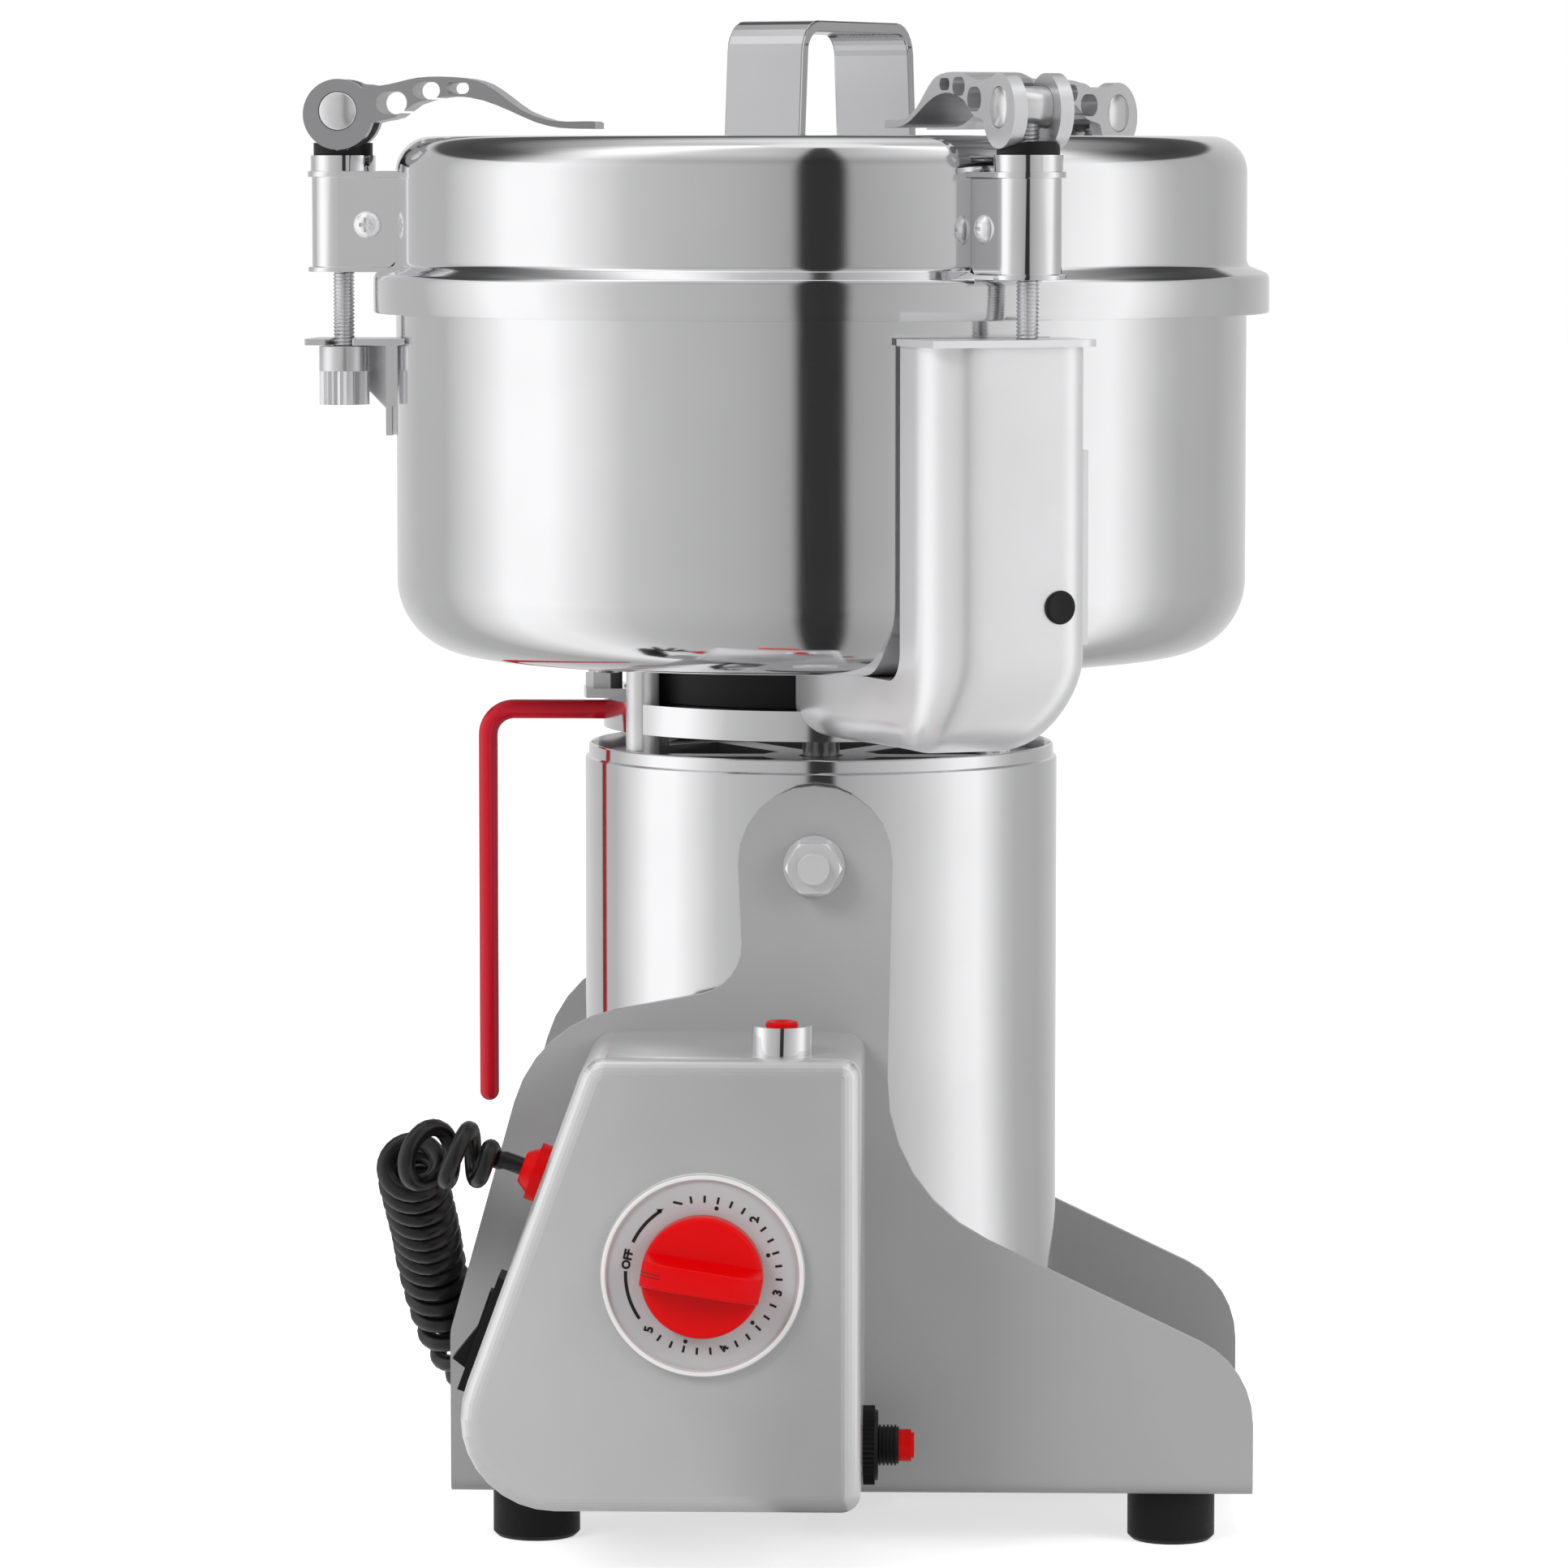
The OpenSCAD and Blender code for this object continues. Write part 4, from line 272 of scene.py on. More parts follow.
CORD = coating("black_cord", (0.007, 0.007, 0.007), 0.30, 900, 0.004)
BLACK = coating("black_plastic", (0.007, 0.007, 0.0075), 0.42, 900, 0.008, specular=0.25)
RED = coating("red_plastic", (0.66, 0.0, 0.001), 0.30, 900, 0.0, specular=0.15)
SLEEVE = coating("red_sleeve", (0.60, 0.002, 0.018), 0.25, 700, 0.0, coat=0.2, specular=0.3)
DIAL = coating("dial_plate", (0.44, 0.44, 0.45), 0.34, 1200, 0.002)
RIM = metal("dial_rim", (0.97, 0.97, 0.97), 0.2, EVEN, 900, 0.0, 0.04, 0.3)
MARK = coating("dark_red_line", (0.09, 0.0, 0.004), 0.45, 900, 0.001)
INK = coating("black_print", (0.006, 0.006, 0.006), 0.5, 900, 0.001)
WHITE = coating("white_plastic", (0.78, 0.78, 0.74), 0.45)
GASKET = coating("pale_gasket", (0.75, 0.74, 0.70), 0.6)
COPPER = metal("copper_wire", (0.70, 0.32, 0.14), 0.4, EVEN, 900, 0.01)
BRASS = metal("brass", (0.68, 0.50, 0.20), 0.32)
CORE = metal("core_steel", (0.30, 0.30, 0.32), 0.45, (0.1, 0.1, 1), 900, 0.005)

# The solids that stay visible; pieces below take the place of the others
FINISHES = {
    POLISHED: ["support_ring"],
    STRAP: ["lid_handle"],
    POST: ["spacer_posts"],
    MIRROR: ["start_switch", "clamp_caps", "clamp_housings"],
    BRUSHED: ["bowl_brackets", "clamp_brackets", "grinding_blades", "blade_spacers"],
    # The three clamp levers are one part; their two alloys below are painted light and shade, not two finishes
    CAST: ["clamp_lever_left", "end_brackets"],
    CAST_PAINTED_LIT: ["clamp_lever_front", "clamp_lever_rear"],
    ZINC: ["clamp_nut_left", "clamp_nut_front", "clamp_nut_rear", "blade_nut", "motor_shaft", "shaft_bearings"],
    BOLT: ["housing_screws", "pivot_bolts", "ring_bolts"],
    PAINT: ["base_stand"],
    BOX: ["control_box"],
    RUBBER: ["rubber_feet", "shaft_seal"],
    BLACK: ["breaker_body", "breaker_nut", "rocker_frame", "rocker_paddle", "barrel_gland", "insulating_disc",
            "clamp_saddles", "safety_switch", "cooling_fan", "bottom_cover"],
    RED: ["breaker_button", "cable_gland"],
    SLEEVE: ["swing_handle"],
    DIAL: ["dial_plate"],
    WHITE: ["pivot_bushes", "timer_body"],
    GASKET: ["lid_gasket"],
    COPPER: ["field_coils"],
    BRASS: ["brush_gear"],
    CORE: ["stator_core", "armature"],
}
for finish, names in FINISHES.items():
    for name in names:
        for material_slot in nodes[name].material_slots:
            material_slot.material = finish
curve.materials.append(CORD)


# Mesh helpers: sizes in mm, placed in the row frame

MERGE_DISTANCE = 1e-7  # in m


def piece(name, verts, faces, mat, body, replaced=(), sharp=32.0):
    """A smooth-shaded mesh piece that rides on a body; verts are in mm from the motor's axis."""
    mesh = bpy.data.meshes.new(name)
    mesh.from_pydata([at(*v) for v in verts], [], faces)
    bm = bmesh.new()
    bm.from_mesh(mesh)
    bmesh.ops.remove_doubles(bm, verts=bm.verts, dist=MERGE_DISTANCE)
    bmesh.ops.delete(bm, geom=[e for e in bm.edges if not e.link_faces], context="EDGES")
    bmesh.ops.recalc_face_normals(bm, faces=bm.faces)
    bm.to_mesh(mesh)
    bm.free()
    mesh.shade_smooth()
    mesh.set_sharp_from_angle(angle=math.radians(sharp))
    mesh.materials.append(mat)
    obj = bpy.data.objects.new(name, mesh)
    bpy.context.scene.collection.objects.link(obj)
    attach(obj, body)
    if replaced:
        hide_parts(*replaced)
    return obj


def polar(r, deg):
    """The plane point at a radius and an angle in degrees."""
    return (r * math.cos(math.radians(deg)), r * math.sin(math.radians(deg)))


def arc(r, z, radius, start, end, n=12):
    """Points of a profile's arc about (r, z), angles in degrees."""
    return [(r + radius * math.cos(math.radians(start + (end - start) * i / n)),
             z + radius * math.sin(math.radians(start + (end - start) * i / n))) for i in range(n + 1)]


def skin(base, n, rows, faces):
    """Adds the faces between neighbouring rows of n points each, the first row starting at vertex base."""
    for k in range(rows - 1):
        for i in range(n):
            j = (i + 1) % n
            faces.append((base + k * n + i, base + k * n + j, base + (k + 1) * n + j, base + (k + 1) * n + i))


def turned(profile, place, verts, faces, segments):
    """Adds a closed profile of (radius, height) turned about an axis; place(u, v, h) gives each point."""
    n, base = len(profile), len(verts)
    for s in range(segments):
        a = 2 * math.pi * s / segments
        verts += [place(r * math.cos(a), r * math.sin(a), h) for r, h in profile]
        t = (s + 1) % segments
        for i in range(n):
            j = (i + 1) % n
            faces.append((base + s * n + i, base + t * n + i, base + t * n + j, base + s * n + j))


def slab(outline, low_z, high_z, verts, faces):
    """Adds an upright prism with this outline of (x, y) points."""
    n, base = len(outline), len(verts)
    verts += [(x, y, low_z) for x, y in outline] + [(x, y, high_z) for x, y in outline]
    faces.append([base + i for i in reversed(range(n))])
    faces.append([base + n + i for i in range(n)])
    faces += [(base + i, base + (i + 1) % n, base + n + (i + 1) % n, base + n + i) for i in range(n)]


def cut_out(obj, outline, low_z, high_z):
    """Cuts an upright prism out of a piece."""
    verts, faces = [], []
    slab(outline, low_z, high_z, verts, faces)
    mesh = bpy.data.meshes.new("cutter")
    mesh.from_pydata([at(*v) for v in verts], [], faces)
    bm = bmesh.new()
    bm.from_mesh(mesh)
    bmesh.ops.recalc_face_normals(bm, faces=bm.faces)
    bm.to_mesh(mesh)
    bm.free()
    cutter = bpy.data.objects.new("cutter", mesh)
    bpy.context.scene.collection.objects.link(cutter)
    cut = obj.modifiers.new("cut", "BOOLEAN")
    cut.operation, cut.solver, cut.object = "DIFFERENCE", "EXACT", cutter
    bpy.context.view_layer.update()
    result = bpy.data.meshes.new_from_object(obj.evaluated_get(bpy.context.evaluated_depsgraph_get()))
    obj.modifiers.clear()
    obj.data = result
    bpy.data.objects.remove(cutter)
    bpy.data.meshes.remove(mesh)


# Bowl, lid and barrel: polished shells turned about the motor's axis

BOWL_R, BOWL_FOOT, BOWL_ROUND, BOWL_WALL, BOWL_HOLE = 114.0, 231.4, 20.0, 1.6, 13.0
RIM_R, RIM_TOP, LIP_R = 116.6, 328.4, 0.8
LID_R, LID_TOP, LID_ROUND, LID_WALL = 114.0, 369.4, 9.5, 1.6
SKIRT_R, SKIRT_FOOT, SHOULDER_Z, SHOULDER_R, STEP_Z, STEP_R = 120.0, 322.5, 331.2, 2.8, 336.9, 3.0
BARREL_R, BARREL_FOOT, BARREL_TOP, BARREL_ROUND, BARREL_WALL, BARREL_HOLE = 63.6, 50.0, 207.0, 15.0, 2.0, 40.0
BEAD_R, BARREL_LIP_R = 0.6, 0.7


def lathe(name, profile, body, replaced):
    """A polished shell whose closed profile of (radius, z) is turned about the motor's axis."""
    verts, faces = [], []
    turned(profile, lambda x, y, z: (x, y, z), verts, faces, segments=256)
    piece(name, verts, faces, POLISHED, body, replaced=[replaced])


corner = (BOWL_R - BOWL_ROUND, BOWL_FOOT + BOWL_ROUND)
lathe("bowl_shell",
      [(BOWL_HOLE, BOWL_FOOT)] + arc(*corner, BOWL_ROUND, -90, 0, 20)
      + [(BOWL_R, RIM_TOP - 1.8), (RIM_R, RIM_TOP - 2 * LIP_R)] + arc(RIM_R, RIM_TOP - LIP_R, LIP_R, -60, 90, 6)
      + [(BOWL_R - BOWL_WALL, RIM_TOP)] + arc(*corner, BOWL_ROUND - BOWL_WALL, 0, -90, 20)
      + [(BOWL_HOLE, BOWL_FOOT + BOWL_WALL)],
      "swing", "grinding_bowl")
corner = (LID_R - LID_ROUND, LID_TOP - LID_ROUND)
lathe("lid_shell_polished",
      [(0, LID_TOP)] + arc(*corner, LID_ROUND, 90, 0, 16) + arc(LID_R + STEP_R, STEP_Z, STEP_R, 180, 222, 6)
      + arc(SKIRT_R - SHOULDER_R, SHOULDER_Z, SHOULDER_R, 42, 0, 6)
      + [(SKIRT_R, SKIRT_FOOT + 0.6), (SKIRT_R - 0.2, SKIRT_FOOT + 0.1), (SKIRT_R - 0.8, SKIRT_FOOT),
         (SKIRT_R - LID_WALL, SKIRT_FOOT + 0.4), (SKIRT_R - LID_WALL, SHOULDER_Z - 0.2),
         (LID_R - LID_WALL, STEP_Z - 0.5)]
      + arc(*corner, LID_ROUND - LID_WALL, 0, 90, 12) + [(0, LID_TOP - LID_WALL)],
      "lid", "lid_shell")
corner = (BARREL_R - BARREL_ROUND, BARREL_FOOT + BARREL_ROUND)
lathe("motor_barrel_shell",
      [(BARREL_HOLE, BARREL_FOOT)] + arc(*corner, BARREL_ROUND, -90, 0, 16)
      + [(BARREL_R, BARREL_TOP - 4.6)] + arc(BARREL_R - BEAD_R, BARREL_TOP - 4.2, BEAD_R, 0, 60, 4)
      + [(BARREL_R - 0.9, BARREL_TOP - 3.4)]
      + arc(BARREL_R - 1.0 - BARREL_LIP_R, BARREL_TOP - BARREL_LIP_R, BARREL_LIP_R, 0, 90, 6)
      + [(BARREL_R - BARREL_WALL, BARREL_TOP - 0.6), (BARREL_R - BARREL_WALL, corner[1])]
      + arc(*corner, BARREL_ROUND - BARREL_WALL, 0, -90, 12) + [(BARREL_HOLE, BARREL_FOOT + BARREL_WALL)],
      "swing", "motor_barrel")


# Guard channel: a rolled channel from the neck's ring up to the front clamp, its cover plate and its plug

GUARD_DEG, GUARD_HALF, GUARD_IN, GUARD_OUT, GUARD_WALL = 291.8, 21.6, 115.4, 139.5, 1.4
GUARD_LOW, GUARD_ARM_TOP, FLANGE_Z, FLANGE_T = 213.0, 231.2, 316.4, 1.8
GUARD_LEFT_R, GUARD_RIGHT_R, ELBOW_IN_R, ELBOW_OUT_R = 14.6, 9.0, 8.0, 26.0
ARM_LEFT_R, ARM_RIGHT_R = 8.5, 17.0
ARM_END, ARM_FLARE, ARM_FLARE_FROM, RING_R = 50.0, 4.0, 100.0, 58.8
ARM_STEPS, ELBOW_STEPS, UPRIGHT_STEPS, RING_POINTS, CUT_OVER = 12, 24, 8, 96, 5.0
WAY_IN, WAY_OUT, WAY_DROP, WAY_DEGREES = 122.6, 137.1, 26.0, range(6, 15)  # the front nut's way out
NUT_TO_GUARD, SLOT_R, SLOT_AT, SLOT_SPREAD = math.radians(3.2), 3.4, 130.0, 0.8
FLANGE_LEFT, FLANGE_RIGHT, FLANGE_FRONT, FLANGE_ROUND = -GUARD_HALF - 1.0, GUARD_HALF + 2.0, GUARD_OUT + 1.4, 7.0
TAB_IN, TAB_OUT, TAB_HALF, TAB_LOW, TAB_TOP = 51.7, 61.0, 17.0, 219.5, 220.8
COVER_IN, COVER_OUT, COVER_GAP, COVER_FACE, COVER_LOW, COVER_TOP = 117.5, 132.0, 0.05, 1.4, 241.0, 290.2
PLUG_T, PLUG_Z, PLUG_SUNK, PLUG_TILT = 12.4, 251.0, 0.4, math.radians(12)
PLUG_R, PLUG_ROUND, PLUG_UNDER, PLUG_EDGE, STEM_R, STEM_L, DISH_FROM, DISH_Z = 4.3, 0.5, 1.2, 0.4, 3.4, 2.4, 2.7, 0.6


def on_guard(r, t, z):
    """A point of the guard: r out from the motor's axis, t across to the right, z up."""
    c, q = math.cos(math.radians(GUARD_DEG)), math.sin(math.radians(GUARD_DEG))
    return (r * c - t * q, r * q + t * c, z)


def guard_plan(outline):
    """An outline of (r, t) points as the (x, y) points of a slab."""
    return [on_guard(r, t, 0)[:2] for r, t in outline]


def guard_stations():
    """The channel's inner and outer edge, (r, z) each, from the neck out and up."""
    shares = [k / ARM_STEPS for k in range(ARM_STEPS)]
    inner = [(ARM_END + (GUARD_IN - ELBOW_IN_R - ARM_END) * q, GUARD_ARM_TOP) for q in shares]
    outer = [(ARM_END + (GUARD_OUT - ELBOW_OUT_R - ARM_END) * q, GUARD_LOW) for q in shares]
    inner += arc(GUARD_IN - ELBOW_IN_R, GUARD_ARM_TOP + ELBOW_IN_R, ELBOW_IN_R, -90, 0, ELBOW_STEPS)
    outer += arc(GUARD_OUT - ELBOW_OUT_R, GUARD_LOW + ELBOW_OUT_R, ELBOW_OUT_R, -90, 0, ELBOW_STEPS)
    (ri, zi), (ro, zo) = inner[-1], outer[-1]
    shares = [k / UPRIGHT_STEPS for k in range(1, UPRIGHT_STEPS + 1)]
    return list(zip(inner + [(ri, zi + (FLANGE_Z - zi) * q) for q in shares],
                    outer + [(ro, zo + (FLANGE_Z - zo) * q) for q in shares]))


def guard_section(a, b, wall):
    """The channel's outline between its inner edge a and outer edge b, drawn in by a wall."""
    depth = math.hypot(b[0] - a[0], b[1] - a[1])
    share = min(1.0, max(0.0, (ARM_FLARE_FROM - a[0]) / (ARM_FLARE_FROM - RING_R)))
    half = GUARD_HALF + ARM_FLARE * smooth(share)
    bend = smooth(max(0.0, GUARD_LOW + ELBOW_OUT_R - b[1]) / ELBOW_OUT_R)
    left = GUARD_LEFT_R + (ARM_LEFT_R - GUARD_LEFT_R) * bend
    right = GUARD_RIGHT_R + (ARM_RIGHT_R - GUARD_RIGHT_R) * bend
    outline = [(wall, -half + wall), (depth - left, -half + wall)]
    outline += arc(depth - left, -half + left, left - wall, -90, 0, 16)[1:]
    outline += arc(depth - right, half - right, right - wall, 0, 90, 12) + [(wall, half - wall)]
    return [on_guard(a[0] + (b[0] - a[0]) * d / depth, t, a[1] + (b[1] - a[1]) * d / depth) for d, t in outline]


def guard_channel():
    """The rolled channel, cut to the neck's ring and open where the front nut leaves it."""
    stations = guard_stations()
    count, n = len(stations), len(guard_section(*stations[0], 0.0))
    verts, faces = [], []
    for wall in (0.0, GUARD_WALL):
        base = len(verts)
        for a, b in stations:
            verts += guard_section(a, b, wall)
        skin(base, n, count, faces)
    for k in (0, count - 1):
        for i in range(n):
            j = (i + 1) % n
            faces.append((k * n + i, k * n + j, (count + k) * n + j, (count + k) * n + i))
    guard = piece("guard_channel_rolled", verts, faces, GUARD, "swing", replaced=["guard_channel"],
                  sharp=40)
    ring = [polar(RING_R, 360 * i / RING_POINTS) for i in range(RING_POINTS)]
    cut_out(guard, ring, GUARD_LOW - CUT_OVER, GUARD_ARM_TOP + CUT_OVER)
    way = [(WAY_OUT, a) for a in WAY_DEGREES] + [(WAY_IN, a) for a in reversed(WAY_DEGREES)]
    cut_out(guard, [polar(r, GUARD_DEG + a) for r, a in way], FLANGE_Z - WAY_DROP, FLANGE_Z + 1)


def from_clamp(r, t):
    """A point of the guard's plane, from one given along the front clamp's own direction."""
    c, q = math.cos(NUT_TO_GUARD), math.sin(NUT_TO_GUARD)
    return (r * c - t * q, r * q + t * c)


def slot_side(r):
    """Where a straight edge of the rod's slot leaves the flange's right side."""
    t = (FLANGE_RIGHT - r * math.sin(NUT_TO_GUARD)) / math.cos(NUT_TO_GUARD)
    return from_clamp(r, t)


def guard_flange():
    """The channel's top flange with the rod's slot, and the tab that holds its arm at the ring."""
    plan = [(GUARD_IN, FLANGE_LEFT), (FLANGE_FRONT, FLANGE_LEFT)]
    plan += arc(FLANGE_FRONT - FLANGE_ROUND, FLANGE_RIGHT - FLANGE_ROUND, FLANGE_ROUND, 0, 90, 10)
    plan += [slot_side(SLOT_AT + SLOT_R)]
    plan += [from_clamp(SLOT_AT + u, v) for u, v in arc(0, 0, SLOT_R, 0, -180, 16)]
    plan += [slot_side(SLOT_AT - SLOT_R - SLOT_SPREAD), (GUARD_IN, FLANGE_RIGHT)]
    tab = [(TAB_IN, -TAB_HALF), (TAB_OUT, -TAB_HALF), (TAB_OUT, TAB_HALF), (TAB_IN, TAB_HALF)]
    verts, faces = [], []
    slab(guard_plan(plan), FLANGE_Z, FLANGE_Z + FLANGE_T, verts, faces)
    slab(guard_plan(tab), TAB_LOW, TAB_TOP, verts, faces)
    piece("guard_flange", verts, faces, GUARD, "swing")


def guard_cover():
    """The plate that closes the opening in the channel's right side."""
    near, far = GUARD_HALF + COVER_GAP, GUARD_HALF + COVER_FACE
    verts, faces = [], []
    slab(guard_plan([(COVER_IN, near), (COVER_OUT, near), (COVER_OUT, far), (COVER_IN, far)]),
         COVER_LOW, COVER_TOP, verts, faces)
    piece("guard_cover_plate", verts, faces, GUARD, "swing", replaced=["guard_cover"])


def on_plug(u, v, h):
    """A point of the plug: u across, v up, h out of the guard's face."""
    return on_guard(GUARD_OUT - PLUG_SUNK + h * math.cos(PLUG_TILT) - u * math.sin(PLUG_TILT),
                    PLUG_T + u * math.cos(PLUG_TILT) + h * math.sin(PLUG_TILT), PLUG_Z + v)


def guard_plug():
    """The plug's rounded head over its stem, a little dished."""
    verts, faces = [], []
    turned([(0, -STEM_L), (STEM_R, -STEM_L), (STEM_R, -PLUG_UNDER), (PLUG_R, 0.2 - PLUG_UNDER), (PLUG_R, PLUG_EDGE)]
           + arc(PLUG_R - PLUG_ROUND, PLUG_EDGE, PLUG_ROUND, 0, 90, 5) + [(DISH_FROM, DISH_Z + 0.1), (0, DISH_Z)],
           on_plug, verts, faces, segments=64)
    piece("guard_plug_button", verts, faces, BLACK, "swing", replaced=["guard_plug"])


guard_channel()
guard_flange()
guard_cover()
guard_plug()


# Print on the dial: its numbers, ticks and arrows, as thin raised ink

DIAL_X, DIAL_Z, DIAL_FACE, DIAL_R, MARK_R = -26.8, 81.6, -129.4, 26.04, 19.5
DIAL_RIM_W, DIAL_RIM_H, DIAL_RIM_ROUND, DIAL_RIM_SUNK = 1.7, 1.06, 0.6, 1.2
INK_H, GLYPH_TURN, GLYPH_BOLD, NUMBER_SIZE = 0.05, 78.0, 0.15, 3.1
NUMBERS = [("1", 108.6), ("2", 47.6), ("3", -13.0), ("4", -74.0), ("5", -134.5)]
OFF_DEG, OFF_SIZE = 168, 2.9
GAPS, TICK_HALF, TICK_W, DOT_IN, DOT_R = 6, 0.9, 0.6, 2.0, 0.55  # ticks and dots between two numbers
ARCS, ARC_STEPS, ARC_W = ((154.5, 122.0), (177.0, 215.0)), 12, 0.85
ARROW = ((0.0, 119.5), (0.0, 125), (1.0, 124.5))  # its corners: out from MARK_R, and the angle


def on_dial(u, v, h=0.0):
    """A point of the dial's face: u right and v up from its middle, h out of it."""
    return (DIAL_X + u, DIAL_FACE - h, DIAL_Z + v)


def prism(outline, verts, faces):
    """Adds a thin solid with this (u, v) outline to a list of verts and faces."""
    n, base = len(outline), len(verts)
    verts += [on_dial(u, v, 0.0) for u, v in outline] + [on_dial(u, v, INK_H) for u, v in outline]
    faces.append([base + i for i in range(n)])
    faces.append([base + n + i for i in reversed(range(n))])
    faces += [(base + i, base + (i + 1) % n, base + n + (i + 1) % n, base + n + i) for i in range(n)]


def stroke(a, b, width, verts, faces):
    """Adds a straight line of ink from a to b."""
    d = Vector((b[0] - a[0], b[1] - a[1])).normalized() * width / 2
    prism([(a[0] - d.y, a[1] + d.x), (b[0] - d.y, b[1] + d.x), (b[0] + d.y, b[1] - d.x), (a[0] + d.y, a[1] - d.x)],
          verts, faces)


def glyphs(text, deg, size, verts, faces):
    """Adds a word turned as the dial's print is, centred on the ring of marks."""
    font = bpy.data.curves.new("print", "FONT")
    font.body, font.size, font.align_x, font.align_y = text, size, "CENTER", "CENTER"
    font.extrude, font.offset, font.resolution_u = INK_H / 2, GLYPH_BOLD, 3
    holder = bpy.data.objects.new("print", font)
    mesh = bpy.data.meshes.new_from_object(holder)
    base, turn, middle = len(verts), math.radians(GLYPH_TURN), polar(MARK_R, deg)
    lo = [min(v.co[i] for v in mesh.vertices) for i in (0, 1)]
    hi = [max(v.co[i] for v in mesh.vertices) for i in (0, 1)]
    for v in mesh.vertices:
        x, y = v.co.x - (lo[0] + hi[0]) / 2, v.co.y - (lo[1] + hi[1]) / 2
        verts.append(on_dial(middle[0] + x * math.cos(turn) - y * math.sin(turn),
                             middle[1] + x * math.sin(turn) + y * math.cos(turn), v.co.z + INK_H / 2))
    faces += [[base + i for i in p.vertices] for p in mesh.polygons]
    bpy.data.objects.remove(holder)
    bpy.data.curves.remove(font)
    bpy.data.meshes.remove(mesh)


def dial_print():
    """Numbers 1 to 5 with ticks and dots between them, OFF, and the two curved lines with an arrow."""
    verts, faces = [], []
    for number, deg in NUMBERS:
        glyphs(number, deg, NUMBER_SIZE, verts, faces)
    glyphs("OFF", OFF_DEG, OFF_SIZE, verts, faces)
    for (_, a), (_, b) in zip(NUMBERS, NUMBERS[1:]):
        for k in range(1, GAPS):
            deg = a + (b - a) * k / GAPS
            stroke(polar(MARK_R - TICK_HALF, deg), polar(MARK_R + TICK_HALF, deg), TICK_W, verts, faces)
        u, v = polar(MARK_R - DOT_IN, (a + b) / 2)
        prism([(u + polar(DOT_R, q)[0], v + polar(DOT_R, q)[1]) for q in range(0, 360, 30)], verts, faces)
    for a, b in ARCS:
        ends = [polar(MARK_R, a + (b - a) * k / ARC_STEPS) for k in range(ARC_STEPS + 1)]
        for p, q in zip(ends, ends[1:]):
            stroke(p, q, ARC_W, verts, faces)
    prism([polar(MARK_R + out, deg) for out, deg in ARROW], verts, faces)
    piece("dial_print", verts, faces, INK, "stand")


def dial_rim():
    """The bright ring round the dial plate."""
    verts, faces = [], []
    turned([(DIAL_R - DIAL_RIM_W, 0), (DIAL_R - DIAL_RIM_W, DIAL_RIM_H - DIAL_RIM_ROUND)]
           + arc(DIAL_R - DIAL_RIM_W + DIAL_RIM_ROUND, DIAL_RIM_H - DIAL_RIM_ROUND, DIAL_RIM_ROUND, 180, 90, 5)
           + arc(DIAL_R - DIAL_RIM_ROUND, DIAL_RIM_H - DIAL_RIM_ROUND, DIAL_RIM_ROUND, 90, 0, 5)
           + [(DIAL_R, -DIAL_RIM_SUNK)],
           on_dial, verts, faces, segments=160)
    piece("dial_rim_ring", verts, faces, RIM, "stand")


dial_print()
dial_rim()


# Timer knob: a round skirt and a tapered grip bar whose ends round down, with two dark lines on its pointer end

KNOB_R, KNOB_H, KNOB_GAP, SKIRT_H, SKIRT_ROUND = 15.5, 15.0, 0.2, 6.0, 1.5
GRIP_BASE, GRIP_TOP, GRIP_EDGE, GRIP_FLAT, END_R = 9.4, 6.6, 0.7, 7.0, 11.5
GRIP_STATIONS, SIDE_STEPS, GRIP_FOOT = 48, 6, SKIRT_H - 1
SPINDLE_R, SPINDLE_TOP, SPINDLE_FOOT, KNOB_LEAN = 3.0, 9.0, -16.0, math.radians(-9)
LINE_FROM, LINE_TO, LINE_U, LINE_W, LINE_H, LINE_STEPS = -15.3, -10.2, 0.42, 0.26, 0.03, 10


def on_knob(x, u, h):
    """A point of the knob: x along the grip, u across it, h out of the dial."""
    return on_dial(x * math.cos(KNOB_LEAN) - u * math.sin(KNOB_LEAN),
                   x * math.sin(KNOB_LEAN) + u * math.cos(KNOB_LEAN), h + KNOB_GAP)


def grip_top(x):
    """The grip's height at x along it."""
    run = max(0.0, abs(x) - GRIP_FLAT)
    return KNOB_H - END_R + math.sqrt(END_R ** 2 - run ** 2)


def grip_section(x):
    """The grip's outline across x, (u, h) points from one foot over the top to the other."""
    top = grip_top(x)
    shares = [k / SIDE_STEPS for k in range(SIDE_STEPS)]
    section = [(GRIP_BASE / 2 + (GRIP_TOP - GRIP_BASE) / 2 * q, GRIP_FOOT + (top - GRIP_EDGE - GRIP_FOOT) * q)
               for q in shares]
    section += arc(GRIP_TOP / 2 - GRIP_EDGE, top - GRIP_EDGE, GRIP_EDGE, 0, 90, 5)
    return section + [(-u, h) for u, h in reversed(section)]


